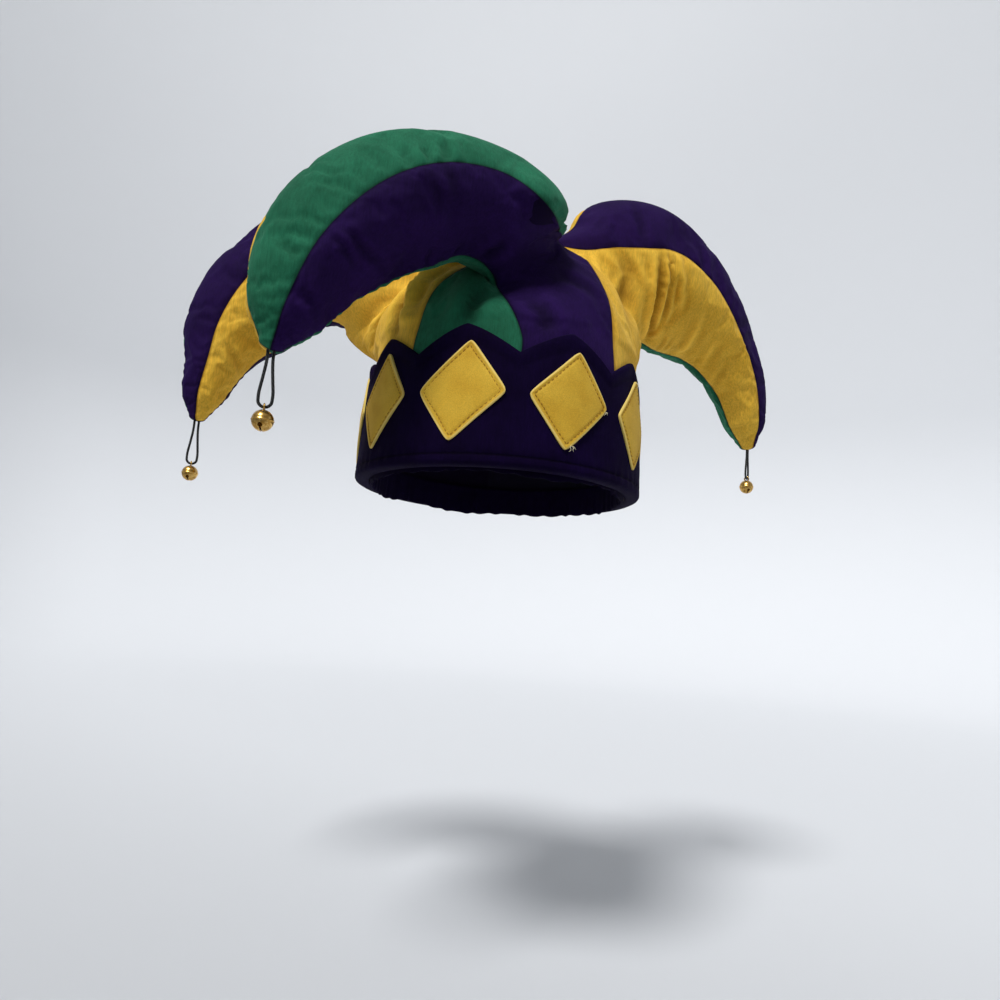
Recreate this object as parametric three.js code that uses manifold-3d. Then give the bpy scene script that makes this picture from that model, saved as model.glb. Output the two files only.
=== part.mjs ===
// A cloth jester hat with three stuffed horns, a turned-up cuff of ten points, ten sewn-on diamonds
// and a bell on a cord loop at each horn tip. Millimetres, +Z up. The rim lies at z = 0 around the
// middle of the head opening, and the front of the hat faces -Y.
import * as THREE from "three";
import { mergeVertices } from "three/addons/utils/BufferGeometryUtils.js";
import Module from "manifold-3d";

const wasm = await Module();
wasm.setup();

// Driving sizes
const CLEARANCE = 0.3; // between pieces that lie against each other
const OPENING_WIDTH = 181; // the head opening, side to side
const OPENING_DEPTH = 203; // and front to back
const CROWN_WALL = 5; // padded cloth at the rim
const CROWN_TOP = 175; // the crown's height above the rim, which the tables share out
const APEX_SIDE = 36; // where the six gores meet: this far to the right of the head's middle,
const APEX_FRONT = 14; // this far in front of it,
const APEX_HEIGHT = 186; // and this high above the rim
const HOLLOW_TOP = 142; // top of the hollow for the head
const RIM_EDGE = 1; // lower edge of the crown gores
const CUFF_WALL = 3; // two layers of velour
const CUFF_POINT_HEIGHT = 86;
const CUFF_NOTCH_HEIGHT = 69;
const CUFF_POINTS = 10;
const CUFF_FLARE = 1.2; // the cuff stands this much further out at the rim
const HEM_WALL = 2; // the turned-in edge inside the rim
const HEM_HEIGHT = 18;
const HEM_DROP = 3; // how far it shows below the rim
const HEM_WAVE = 1.5; // and how much that changes round the rim
const DIAMOND_WIDTH = 53;
const DIAMOND_HEIGHT = 65;
const DIAMOND_WALL = 1.4;
const DIAMOND_FOOT = 11; // its lower corner, above the rim
const DIAMOND_LEAN = 8; // how far its upper corner leans to one side
const UNDER_ANGLE = 96; // degrees of a horn's section that a lower gore covers, from the underside
const BELL_DIAMETER = 11.5;
const BELL_WALL = 0.7;
const BELL_SLIT = 1.1;
const BELL_EYE_WIRE = 1;
const BELL_EYE_HOLE = 2.6;
const CORD_DIAMETER = 1.7;
const CORD_BEND = 3.5; // radius of the loop's lower end
const CORD_NECK = 1.6; // half the space between the two strands at the horn
const CORD_SEAT = -0.3; // how far up its tip a cord reaches

const COLOURS = {
  purple: 0x1e123e,
  green: 0x20644a,
  yellow: 0xd6ac42,
  cuff: 0x0c0418,
  patch: 0xc49a3c,
  brass: 0xb8924a,
  cord: 0x101212,
};

// The crown's upright profile, from the rim to its top: radius as a share of the rim's, height as a
// share of the crown's. The first column pair is the outer cloth in the valley between two horns, the
// second one the hollow for the head, whose height is a share of the hollow's.
const CROWN = [
  { radius: 1.0, height: 0.0, hollowRadius: 1.0, hollowHeight: 0.0 },
  { radius: 0.985, height: 0.26, hollowRadius: 0.985, hollowHeight: 0.3 },
  { radius: 0.965, height: 0.49, hollowRadius: 0.95, hollowHeight: 0.57 },
  { radius: 0.84, height: 0.69, hollowRadius: 0.86, hollowHeight: 0.72 },
  { radius: 0.4, height: 0.9, hollowRadius: 0.6, hollowHeight: 0.89 },
  { radius: 0.0, height: 1.0, hollowRadius: 0.0, hollowHeight: 1.0 },
];

// The three horns. Azimuth is measured from the front, towards the right side of a viewer in front.
// rightSpan and leftSpan are how many degrees of the crown's wall its right and left lower gore take.
// crotch is where the underside seam leaves the crown wall, and inside is the point that the horn
// bends around. In both, and in the stations of the horn's middle line, out and side are shares of
// reach, out away from the crown and side to the right of that; rise is a share of CROWN_TOP. A
// station's tall and wide are shares of fullness, its section from underside to top and across.
// upperStart is the row where the upper gores begin, just past the crown's top, where six seams would
// otherwise share one point.
const HORNS = [
  {
    name: "front",
    azimuth: 0,
    rightSpan: 40,
    leftSpan: 40,
    reach: 140,
    fullness: 84,
    crotch: { out: 0.72, side: -0.1, rise: 0.57 },
    inside: { out: 0.68, side: -0.33, rise: 0.6 },
    right: "purple",
    left: "green",
    upperRight: "green",
    upperLeft: "yellow",
    upperStart: 5.75,
    cordHang: 34,
    stations: [
      { out: 0.41, side: 0.12, rise: 0.66, tall: 1.1, wide: 0.9 },
      { out: 0.46, side: 0.06, rise: 0.79, tall: 1.02, wide: 0.88 },
      { out: 0.54, side: -0.04, rise: 0.9, tall: 0.9, wide: 0.88 },
      { out: 0.61, side: -0.2, rise: 0.95, tall: 0.88, wide: 0.9 },
      { out: 0.69, side: -0.4, rise: 0.93, tall: 0.93, wide: 0.92 },
      { out: 0.76, side: -0.58, rise: 0.86, tall: 0.97, wide: 0.88 },
      { out: 0.84, side: -0.74, rise: 0.73, tall: 0.93, wide: 0.82 },
      { out: 0.92, side: -0.87, rise: 0.56, tall: 0.75, wide: 0.68 },
      { out: 0.97, side: -0.94, rise: 0.38, tall: 0.5, wide: 0.46 },
      { out: 1.0, side: -0.96, rise: 0.27, tall: 0.17, wide: 0.17 },
    ],
  },
  {
    name: "right",
    azimuth: 120,
    rightSpan: 60,
    leftSpan: 80,
    reach: 245,
    fullness: 108,
    crotch: { out: 0.43, side: -0.01, rise: 0.56 },
    inside: { out: 0.61, side: -0.05, rise: 0.51 },
    right: "green",
    left: "yellow",
    upperRight: "yellow",
    upperLeft: "purple",
    upperStart: 5.35,
    cordHang: 29,
    stations: [
      { out: 0.29, side: -0.02, rise: 0.75, tall: 1.0, wide: 0.95 },
      { out: 0.33, side: -0.02, rise: 0.89, tall: 1.0, wide: 0.95 },
      { out: 0.38, side: -0.03, rise: 1.1, tall: 1.06, wide: 0.92 },
      { out: 0.52, side: -0.06, rise: 1.13, tall: 1.1, wide: 0.88 },
      { out: 0.65, side: -0.09, rise: 1.07, tall: 0.92, wide: 0.78 },
      { out: 0.74, side: -0.11, rise: 0.98, tall: 0.72, wide: 0.66 },
      { out: 0.83, side: -0.12, rise: 0.86, tall: 0.55, wide: 0.54 },
      { out: 0.91, side: -0.13, rise: 0.71, tall: 0.43, wide: 0.43 },
      { out: 0.96, side: -0.13, rise: 0.54, tall: 0.32, wide: 0.32 },
      { out: 0.98, side: -0.13, rise: 0.43, tall: 0.13, wide: 0.13 },
    ],
  },
  {
    name: "left",
    azimuth: -120,
    rightSpan: 80,
    leftSpan: 60,
    reach: 220,
    fullness: 104,
    crotch: { out: 0.48, side: 0.03, rise: 0.57 },
    inside: { out: 0.74, side: 0.1, rise: 0.5 },
    right: "yellow",
    left: "purple",
    upperRight: "purple",
    upperLeft: "green",
    upperStart: 5.1,
    cordHang: 36,
    stations: [
      { out: 0.34, side: 0.04, rise: 0.74, tall: 0.94, wide: 0.95 },
      { out: 0.44, side: 0.04, rise: 0.89, tall: 0.98, wide: 0.95 },
      { out: 0.56, side: 0.05, rise: 1.03, tall: 1.0, wide: 0.92 },
      { out: 0.7, side: 0.09, rise: 1.07, tall: 1.02, wide: 0.86 },
      { out: 0.84, side: 0.15, rise: 0.98, tall: 0.98, wide: 0.78 },
      { out: 0.94, side: 0.22, rise: 0.81, tall: 0.84, wide: 0.68 },
      { out: 0.98, side: 0.28, rise: 0.64, tall: 0.62, wide: 0.54 },
      { out: 0.99, side: 0.31, rise: 0.48, tall: 0.42, wide: 0.4 },
      { out: 1.0, side: 0.33, rise: 0.35, tall: 0.29, wide: 0.29 },
      { out: 1.0, side: 0.34, rise: 0.26, tall: 0.12, wide: 0.12 },
    ],
  },
];

// Main folds and dents of the stuffed gores. row counts along a gore from the rim (0) over its crown
// top (5) to the horn's tip (13), across runs from the underside seam (0) to the gore's other seam (1).
// depth and the two widths are shares of the horn's fullness, of rows, and of the gore's width.
const FOLDS = [
  { horn: "front", side: "right", row: 4.2, across: 0.45, depth: 0.05, rows: 0.8, width: 0.16 },
  { horn: "front", side: "right", row: 8.6, across: 0.3, depth: 0.03, rows: 0.5, width: 0.3 },
  { horn: "right", side: "left", row: 5.6, across: 0.45, depth: 0.05, rows: 1.3, width: 0.16 },
  { horn: "right", side: "left", row: 7.2, across: 0.3, depth: 0.04, rows: 0.4, width: 0.35 },
  { horn: "left", side: "right", row: 7.0, across: 0.35, depth: 0.03, rows: 0.5, width: 0.3 },
];

const WALL_ROW = 2; // up to this row a gore is crown wall behind the cuff
const TOP_ROW = 5; // the row that ends in the crown's top
const FIRST_STATION = 4; // the row of a horn's first station
// Sections fan out from the inside point up to the first of these stations, and are square to the
// horn's middle line from the second.
const FANNED_STATIONS = [4, 8];
const FREE_ROW = 6.5; // from this row a horn is free of its neighbours
const LOWER_ROWS = [
  0, 1, 2, 2.5, 3, 3.5, 4, 4.5, 5, 5.1, 5.2, 5.35, 5.55, 5.75, 6, 6.5, 7, 7.5, 8, 8.5, 9, 9.5, 10, 10.5,
  11, 11.5, 12, 12.5, 12.8, 13,
];
const LOWER_COLUMNS = 6;
const UPPER_COLUMNS = 3;

const radians = THREE.MathUtils.degToRad;
const smooth = THREE.MathUtils.smoothstep;

// The half-width and half-depth of the crown at the rim, outer side and hollow.
const HOLLOW = { x: OPENING_WIDTH / 2, y: OPENING_DEPTH / 2 };
const OUTER = { x: HOLLOW.x + CROWN_WALL, y: HOLLOW.y + CROWN_WALL };
const APEX = new THREE.Vector3(APEX_SIDE, -APEX_FRONT, APEX_HEIGHT);

// A point of the oval with half-sizes half, times share, at an azimuth in degrees.
function onOval(half, share, azimuth, z) {
  const a = radians(azimuth);
  const radius = share / Math.hypot(Math.sin(a) / half.x, Math.cos(a) / half.y);
  return new THREE.Vector3(radius * Math.sin(a), -radius * Math.cos(a), z);
}

// From a horn's own directions (out, side, up) to the hat's.
function fromHorn(horn, out, side, up) {
  const a = radians(horn.azimuth);
  return new THREE.Vector3(
    out * Math.sin(a) + side * Math.cos(a),
    -out * Math.cos(a) + side * Math.sin(a),
    up,
  );
}

function placed(horn, row) {
  return fromHorn(horn, row.out * horn.reach, row.side * horn.reach, row.rise * CROWN_TOP);
}

function spanOf(horn, side) {
  return side > 0 ? horn.rightSpan : horn.leftSpan;
}

// The azimuth of the valley on one side of a horn.
function valleyOf(horn, side) {
  return horn.azimuth + side * spanOf(horn, side);
}

function outerHeight(row) {
  return RIM_EDGE + row.height * (CROWN_TOP - RIM_EDGE);
}

function hollowHeight(row) {
  return RIM_EDGE + row.hollowHeight * (HOLLOW_TOP - RIM_EDGE);
}

// A point of the seam in a valley between two horns. Above the wall it runs straight to the apex in plan.
function valleyPoint(azimuth, row) {
  const wall = CROWN[WALL_ROW];
  if (CROWN.indexOf(row) <= WALL_ROW) {
    return onOval(OUTER, row.radius, azimuth, outerHeight(row));
  }
  const from = onOval(OUTER, wall.radius, azimuth, outerHeight(wall));
  const inwards = 1 - row.radius / wall.radius;
  const rise = (row.height - wall.height) / (1 - wall.height);
  const way = APEX.clone().sub(from).multiply(new THREE.Vector3(inwards, inwards, rise));
  return from.add(way);
}

// A smooth line through one point for each row, read at any row number.
function seamLine(points) {
  const curve = new THREE.CatmullRomCurve3(points, false, "catmullrom", 0.5);
  return (row) => curve.getPoint(row / (points.length - 1));
}

// The same, with a corner at the crown's top.
function corneredLine(points) {
  const rising = seamLine(points.slice(0, TOP_ROW + 1));
  const leaving = seamLine(points.slice(TOP_ROW));
  return (row) => (row <= TOP_ROW ? rising(row) : leaving(row - TOP_ROW));
}

// The frame of a horn at each station: middle, inner direction, direction across and half-sizes.
function hornFrames(horn) {
  const middle = horn.stations.map((s) => placed(horn, s));
  const curve = new THREE.CatmullRomCurve3(middle, false, "catmullrom", 0.5);
  const bend = placed(horn, horn.inside);
  return horn.stations.map((station, i) => {
    const along = curve.getTangent(i / (horn.stations.length - 1));
    const inner = bend.clone().sub(middle[i]).normalize();
    const square = smooth(i, FANNED_STATIONS[0], FANNED_STATIONS[1]);
    inner.addScaledVector(along, -square * inner.dot(along)).normalize();
    const right = new THREE.Vector3().crossVectors(along, inner).normalize();
    return {
      middle: middle[i],
      inner,
      right,
      tall: (station.tall * horn.fullness) / 2,
      wide: (station.wide * horn.fullness) / 2,
    };
  });
}

// A point of a horn's section, at an angle in degrees from the underside, towards side (1 is right).
function onSection(frame, angle, side) {
  return frame.middle
    .clone()
    .addScaledVector(frame.inner, frame.tall * Math.cos(radians(angle)))
    .addScaledVector(frame.right, side * frame.wide * Math.sin(radians(angle)));
}

function outwards(frame, angle, side) {
  return new THREE.Vector3()
    .addScaledVector(frame.inner, Math.cos(radians(angle)))
    .addScaledVector(frame.right, side * Math.sin(radians(angle)));
}

// The seams of one half of a horn: under, along the underside; upper, between the lower and the
// upper gore; spine, along the top; and core, the line inside the stuffing that both gores reach.
function hornSeams(horn, side) {
  const frames = hornFrames(horn);
  const valley = valleyOf(horn, side);
  const top = APEX;
  const past = frames.slice(TOP_ROW + 1 - FIRST_STATION);
  const wall = CROWN.slice(0, WALL_ROW + 1).map((r) => onOval(OUTER, r.radius, horn.azimuth, outerHeight(r)));
  const under = [...wall, placed(horn, horn.crotch), ...frames.map((f) => onSection(f, 0, side))];
  const upper = [
    ...CROWN.slice(0, TOP_ROW).map((r) => valleyPoint(valley, r)),
    top,
    ...past.map((f) => onSection(f, UNDER_ANGLE, side)),
  ];
  const spine = [
    ...CROWN.slice(0, TOP_ROW).map(() => top),
    top,
    ...past.map((f) => onSection(f, 180, side)),
  ];
  const hollowEnd = new THREE.Vector3(0, 0, HOLLOW_TOP);
  const core = [...CROWN.slice(0, TOP_ROW).map(() => hollowEnd), hollowEnd, ...past.map((f) => f.middle)];
  const bulge = [
    ...CROWN.slice(0, FIRST_STATION).map(() => fromOval((horn.azimuth + valley) / 2)),
    ...frames.map((f) => outwards(f, UNDER_ANGLE / 2, side)),
  ];
  return {
    under: seamLine(under),
    upper: corneredLine(upper),
    spine: corneredLine(spine),
    core: corneredLine(core),
    bulge: seamLine(bulge),
    upperBulge: seamLine([
      ...CROWN.slice(0, FIRST_STATION).map(() => new THREE.Vector3(0, 0, 1)),
      ...frames.map((f) => outwards(f, (UNDER_ANGLE + 180) / 2, side)),
    ]),
  };
}

function fromOval(azimuth) {
  return new THREE.Vector3(Math.sin(radians(azimuth)), -Math.cos(radians(azimuth)), 0);
}

// A round arc from a to b that bows towards bulge, read at a share of its way.
function bowed(a, b, bulge, halfAngle, share) {
  const chord = b.clone().sub(a);
  const half = chord.length() / 2;
  if (half < 1e-6) {
    return a.clone();
  }
  const along = chord.normalize();
  const out = bulge.clone().addScaledVector(along, -bulge.dot(along)).normalize();
  const h = radians(halfAngle);
  const turn = h * (2 * share - 1);
  const rise = (half * (Math.cos(turn) - Math.cos(h))) / Math.sin(h);
  return a
    .clone()
    .add(b)
    .multiplyScalar(0.5)
    .addScaledVector(along, (half * Math.sin(turn)) / Math.sin(h))
    .addScaledVector(out, rise);
}

// Keeps a point inside its horn's share of the crown, so that neighbouring gores only meet.
function keptInShare(point, horn) {
  for (const side of [1, -1]) {
    const wall = onOval(OUTER, CROWN[WALL_ROW].radius, valleyOf(horn, side), 0);
    const along = wall.sub(new THREE.Vector3(APEX.x, APEX.y, 0)).normalize();
    const across = new THREE.Vector3(-along.y, along.x, 0).multiplyScalar(side);
    const over = point.clone().sub(APEX).dot(across);
    point.addScaledVector(across, -Math.max(0, over));
  }
  return point;
}

// How far a fold pushes the cloth in at a place of a lower gore.
function foldDepth(horn, sideName, row, across) {
  return FOLDS.filter((f) => f.horn === horn.name && f.side === sideName).reduce((sum, f) => {
    const away = ((row - f.row) / f.rows) ** 2 + ((across - f.across) / f.width) ** 2;
    return sum + f.depth * horn.fullness * Math.exp(-away);
  }, 0);
}

// The outer side of a lower gore. The crown wall is an oval, and it turns into the horn's round
// section between the cuff and the horn's root.
function lowerPoint(horn, side, seams, row, across) {
  const a = seams.under(row);
  const b = seams.upper(row);
  const halfSpan = spanOf(horn, side) / 2;
  const halfAngle = THREE.MathUtils.lerp(halfSpan, UNDER_ANGLE / 2, smooth(row, WALL_ROW, TOP_ROW + 1));
  const bulge = seams.bulge(row).normalize();
  const point = bowed(a, b, bulge, halfAngle, across);
  const wallRow = Math.min(row, WALL_ROW);
  const k = Math.floor(wallRow);
  const from = CROWN[k];
  const to = CROWN[Math.min(k + 1, WALL_ROW)];
  const radius = THREE.MathUtils.lerp(from.radius, to.radius, wallRow - k);
  const height = THREE.MathUtils.lerp(outerHeight(from), outerHeight(to), wallRow - k);
  const oval = onOval(OUTER, radius, horn.azimuth + side * 2 * halfSpan * across, height);
  const flat = bowed(
    onOval(OUTER, radius, horn.azimuth, height),
    onOval(OUTER, radius, valleyOf(horn, side), height),
    fromOval(horn.azimuth + side * halfSpan),
    halfSpan,
    across,
  );
  point.addScaledVector(oval.sub(flat), 1 - smooth(row, WALL_ROW, WALL_ROW + 2));
  const inwards = seams.core(Math.max(row, TOP_ROW)).sub(point).normalize();
  point.addScaledVector(inwards, foldDepth(horn, side > 0 ? "right" : "left", row, across));
  return row > WALL_ROW && row < FREE_ROW ? keptInShare(point, horn) : point;
}

function upperPoint(horn, seams, row, across) {
  const bulge = seams.upperBulge(row).normalize();
  const point = bowed(seams.upper(row), seams.spine(row), bulge, (180 - UNDER_ANGLE) / 2, across);
  return row < FREE_ROW ? keptInShare(point, horn) : point;
}

// The hollow's surface, or past the crown's top the horn's core line, at a row and an azimuth.
function innerPoint(horn, side, seams, row, across) {
  if (row >= TOP_ROW) {
    return seams.core(row);
  }
  const k = Math.floor(row);
  const radius = THREE.MathUtils.lerp(CROWN[k].hollowRadius, CROWN[k + 1].hollowRadius, row - k);
  const height = THREE.MathUtils.lerp(hollowHeight(CROWN[k]), hollowHeight(CROWN[k + 1]), row - k);
  return onOval(HOLLOW, radius, horn.azimuth + side * spanOf(horn, side) * across, height);
}

// Moves the two ends of a section, and its inner side, off the seams that it shares with neighbours.
function withSeamGap(outer, inner, loose = 1) {
  const last = outer.length - 1;
  const half = (loose * CLEARANCE) / 2 + 0.03;
  const middle = outer[Math.floor(outer.length / 2)];
  const collapsed = inner[0].distanceTo(inner[last]) < 1e-3;
  const step = (from, to, by) => {
    const way = to.clone().sub(from);
    return from.clone().addScaledVector(way.normalize(), by);
  };
  const movedOuter = outer.map((p) => p.clone());
  movedOuter[0] = step(outer[0], outer[1], half);
  movedOuter[last] = step(outer[last], outer[last - 1], half);
  const spread = outer[0].clone().sub(inner[0]).angleTo(outer[last].clone().sub(inner[last]));
  const movedInner = inner.map((p, i) => {
    if (collapsed) {
      return step(p, middle, half / Math.sin(Math.max(spread / 2, 0.05)));
    }
    return p.clone();
  });
  if (!collapsed) {
    const width = inner[0].distanceTo(inner[last]);
    const share = Math.min(0.5, half / width);
    movedInner[0] = inner[0].clone().lerp(inner[last], share);
    movedInner[last] = inner[last].clone().lerp(inner[0], share);
  }
  return { outer: movedOuter, inner: movedInner };
}

// The seams part a little more where they crowd together at the crown's top.
function seamLooseness(row) {
  return 1 + 1.5 * Math.exp(-(((row - TOP_ROW) / 0.35) ** 2));
}

// A closed solid from sections, each a strip of outer points over a strip of inner points.
function solidFromSections(sections) {
  const positions = [];
  const tri = (a, b, c) => [a, b, c].forEach((p) => positions.push(p.x, p.y, p.z));
  const quad = (a, b, c, d) => {
    tri(a, b, c);
    tri(a, c, d);
  };
  const last = sections[0].outer.length - 1;
  for (let j = 0; j < sections.length - 1; j += 1) {
    const s = sections[j];
    const t = sections[j + 1];
    for (let i = 0; i < last; i += 1) {
      quad(s.outer[i], s.outer[i + 1], t.outer[i + 1], t.outer[i]);
      quad(s.inner[i + 1], s.inner[i], t.inner[i], t.inner[i + 1]);
    }
    quad(s.inner[0], s.outer[0], t.outer[0], t.inner[0]);
    quad(s.inner[last], t.inner[last], t.outer[last], s.outer[last]);
  }
  const first = sections[0];
  const end = sections[sections.length - 1];
  for (let i = 0; i < last; i += 1) {
    quad(first.inner[i], first.inner[i + 1], first.outer[i + 1], first.outer[i]);
    quad(end.outer[i], end.outer[i + 1], end.inner[i + 1], end.inner[i]);
  }
  return closedGeometry(positions);
}

// One closed geometry with shared corners, without triangles that have no area, facing outwards.
function closedGeometry(positions) {
  const raw = new THREE.BufferGeometry();
  raw.setAttribute("position", new THREE.Float32BufferAttribute(positions, 3));
  const merged = mergeVertices(raw, 1e-3);
  const at = merged.attributes.position.array;
  const index = merged.index.array;
  const kept = [];
  let volume = 0;
  for (let i = 0; i < index.length; i += 3) {
    const [a, b, c] = [index[i], index[i + 1], index[i + 2]];
    if (a !== b && b !== c && a !== c) {
      kept.push(a, b, c);
      const [p, q, r] = [a, b, c].map((k) => new THREE.Vector3().fromArray(at, 3 * k));
      volume += p.dot(q.cross(r));
    }
  }
  if (volume < 0) {
    kept.reverse();
  }
  merged.setIndex(kept);
  return merged;
}

function toManifold(geometry) {
  const bare = new THREE.BufferGeometry();
  bare.setAttribute("position", geometry.attributes.position.clone());
  if (geometry.index) {
    bare.setIndex(geometry.index.clone());
  }
  const merged = mergeVertices(bare, 1e-3);
  const mesh = new wasm.Mesh({
    numProp: 3,
    vertProperties: new Float32Array(merged.attributes.position.array),
    triVerts: new Uint32Array(merged.index.array),
  });
  return new wasm.Manifold(mesh);
}

function fromManifold(solid) {
  const mesh = solid.getMesh();
  const geometry = new THREE.BufferGeometry();
  geometry.setAttribute("position", new THREE.Float32BufferAttribute(mesh.vertProperties, 3));
  geometry.setIndex(Array.from(mesh.triVerts));
  return geometry;
}

function lowerGore(horn, side) {
  const seams = hornSeams(horn, side);
  const shares = Array.from({ length: LOWER_COLUMNS + 1 }, (_, i) => i / LOWER_COLUMNS);
  const sections = LOWER_ROWS.map((row) =>
    withSeamGap(
      shares.map((share) => lowerPoint(horn, side, seams, row, share)),
      shares.map((share) => innerPoint(horn, side, seams, row, share)),
      seamLooseness(row),
    ),
  );
  return solidFromSections(sections);
}

function upperGore(horn, side) {
  const seams = hornSeams(horn, side);
  const shares = Array.from({ length: UPPER_COLUMNS + 1 }, (_, i) => i / UPPER_COLUMNS);
  const rows = LOWER_ROWS.filter((row) => row >= horn.upperStart);
  const sections = rows.map((row) =>
    withSeamGap(
      shares.map((share) => upperPoint(horn, seams, row, share)),
      shares.map(() => seams.core(row)),
      seamLooseness(row),
    ),
  );
  return solidFromSections(sections);
}

// The cuff's upper edge, above the rim: points over the diamonds, notches between them.
function cuffHeight(azimuth) {
  const turn = (azimuth * CUFF_POINTS) / 360 + 0.5;
  const fromPoint = Math.abs(turn - Math.round(turn)) * 2;
  const share = 1 - fromPoint ** 1.25;
  return CUFF_NOTCH_HEIGHT + share * (CUFF_POINT_HEIGHT - CUFF_NOTCH_HEIGHT);
}

// The crown wall's outer side behind the cuff, pushed out by a distance.
function besideCrown(azimuth, z, out) {
  const wall = CROWN.slice(0, WALL_ROW + 1);
  const heights = wall.map(outerHeight);
  const height = THREE.MathUtils.clamp(z, heights[0], heights[WALL_ROW]);
  const k = height < heights[1] ? 0 : 1;
  const share = (height - heights[k]) / (heights[k + 1] - heights[k]);
  const radius = THREE.MathUtils.lerp(wall[k].radius, wall[k + 1].radius, share);
  const point = onOval(OUTER, radius, azimuth, z);
  return point.addScaledVector(fromOval(azimuth), out);
}

// A closed band around the crown between two heights, as a closed row of sections.
function band(columns, lowAt, highAt, insideAt, outsideAt, levels) {
  const positions = [];
  const quad = (a, b, c, d) => {
    [a, b, c, a, c, d].forEach((p) => positions.push(p.x, p.y, p.z));
  };
  const ring = (i) => {
    const azimuth = (360 * (i % columns)) / columns;
    const low = lowAt(azimuth);
    const high = highAt(azimuth);
    const zs = Array.from({ length: levels + 1 }, (_, k) => low + ((high - low) * k) / levels);
    return [...zs.map((z) => outsideAt(azimuth, z)), ...zs.reverse().map((z) => insideAt(azimuth, z))];
  };
  for (let i = 0; i < columns; i += 1) {
    const a = ring(i);
    const b = ring(i + 1);
    a.forEach((_, k) => {
      const next = (k + 1) % a.length;
      quad(a[k], b[k], b[next], a[next]);
    });
  }
  return closedGeometry(positions);
}

function cuffOut(z) {
  return CLEARANCE + CUFF_FLARE * Math.max(0, 1 - z / CUFF_NOTCH_HEIGHT);
}

function cuff() {
  return band(
    CUFF_POINTS * 8,
    () => 0,
    cuffHeight,
    (azimuth, z) => besideCrown(azimuth, z, cuffOut(z)),
    (azimuth, z) => besideCrown(azimuth, z, cuffOut(z) + CUFF_WALL),
    4,
  );
}

function innerHem() {
  const wave = (azimuth) => -HEM_DROP - HEM_WAVE * Math.sin(radians(7 * azimuth)) * Math.sin(radians(azimuth + 40));
  const beside = (azimuth, z, inwards) => {
    const share = THREE.MathUtils.lerp(1, CROWN[1].hollowRadius, Math.max(0, z) / hollowHeight(CROWN[1]));
    return onOval(HOLLOW, share, azimuth, z).addScaledVector(fromOval(azimuth), -inwards);
  };
  return band(
    72,
    wave,
    () => HEM_HEIGHT,
    (azimuth, z) => beside(azimuth, z, 3 * CLEARANCE + HEM_WALL),
    (azimuth, z) => beside(azimuth, z, 3 * CLEARANCE),
    1,
  );
}

// A diamond patch that lies on the cuff below the point at an azimuth.
function diamond(azimuth) {
  const steps = 4;
  const corner = (x, z) => ({ x, z });
  const low = corner(-DIAMOND_LEAN / 2, DIAMOND_FOOT);
  const high = corner(DIAMOND_LEAN / 2, DIAMOND_FOOT + DIAMOND_HEIGHT);
  const right = corner(DIAMOND_WIDTH / 2, DIAMOND_FOOT + DIAMOND_HEIGHT / 2);
  const left = corner(-DIAMOND_WIDTH / 2, DIAMOND_FOOT + DIAMOND_HEIGHT / 2);
  const girth = Math.hypot(OUTER.x, OUTER.y) / Math.SQRT2;
  const at = (u, v, out) => {
    const x = (1 - u) * (1 - v) * low.x + u * (1 - v) * right.x + (1 - u) * v * left.x + u * v * high.x;
    const z = (1 - u) * (1 - v) * low.z + u * (1 - v) * right.z + (1 - u) * v * left.z + u * v * high.z;
    const around = THREE.MathUtils.radToDeg(x / girth);
    return besideCrown(azimuth + around, z, cuffOut(z) + CUFF_WALL + CLEARANCE + out);
  };
  const shares = Array.from({ length: steps + 1 }, (_, i) => i / steps);
  const sections = shares.map((u) => ({
    outer: shares.map((v) => at(u, v, DIAMOND_WALL)),
    inner: shares.map((v) => at(u, v, 0)),
  }));
  return solidFromSections(sections);
}

// Where a horn's cord leaves it.
function hornTip(horn) {
  const frames = hornFrames(horn);
  const end = frames[frames.length - 1];
  const before = frames[frames.length - 2];
  const along = end.middle.clone().sub(before.middle).normalize();
  return end.middle.clone().addScaledVector(along, CLEARANCE);
}

// The cord loop of a horn: down one strand, round its lower end and up the other.
function cordLine(horn) {
  const tip = hornTip(horn);
  const start = tip.z + CORD_SEAT;
  const low = tip.z - horn.cordHang;
  const level = (share, spread) => ({ z: THREE.MathUtils.lerp(start, low + CORD_BEND, share), spread });
  const strand = [
    level(0, CORD_NECK),
    level(0.3, CORD_NECK),
    level(0.6, (CORD_NECK + CORD_BEND) / 2),
    level(0.85, CORD_BEND),
    level(1, CORD_BEND),
  ];
  const round = [-60, -30, 0, 30, 60].map((turn) => ({
    z: low + CORD_BEND - CORD_BEND * Math.cos(radians(turn)),
    spread: -CORD_BEND * Math.sin(radians(turn)),
  }));
  const down = [...strand, ...round.slice(0, 2)];
  const line = [...down, round[2], ...down.map((p) => ({ z: p.z, spread: -p.spread })).reverse()];
  return line.map((p) => new THREE.Vector3(tip.x, tip.y + p.spread, p.z));
}

function cord(horn) {
  const path = new THREE.CatmullRomCurve3(cordLine(horn), false, "centripetal");
  const shape = new THREE.Shape();
  for (let i = 0; i < 8; i += 1) {
    const turn = (i * Math.PI) / 4;
    const x = (CORD_DIAMETER / 2) * Math.cos(turn);
    const y = (CORD_DIAMETER / 2) * Math.sin(turn);
    if (i === 0) {
      shape.moveTo(x, y);
    } else {
      shape.lineTo(x, y);
    }
  }
  shape.closePath();
  const tube = new THREE.ExtrudeGeometry(shape, { steps: 34, extrudePath: path, curveSegments: 1 });
  return fromManifold(toManifold(tube));
}

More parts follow.
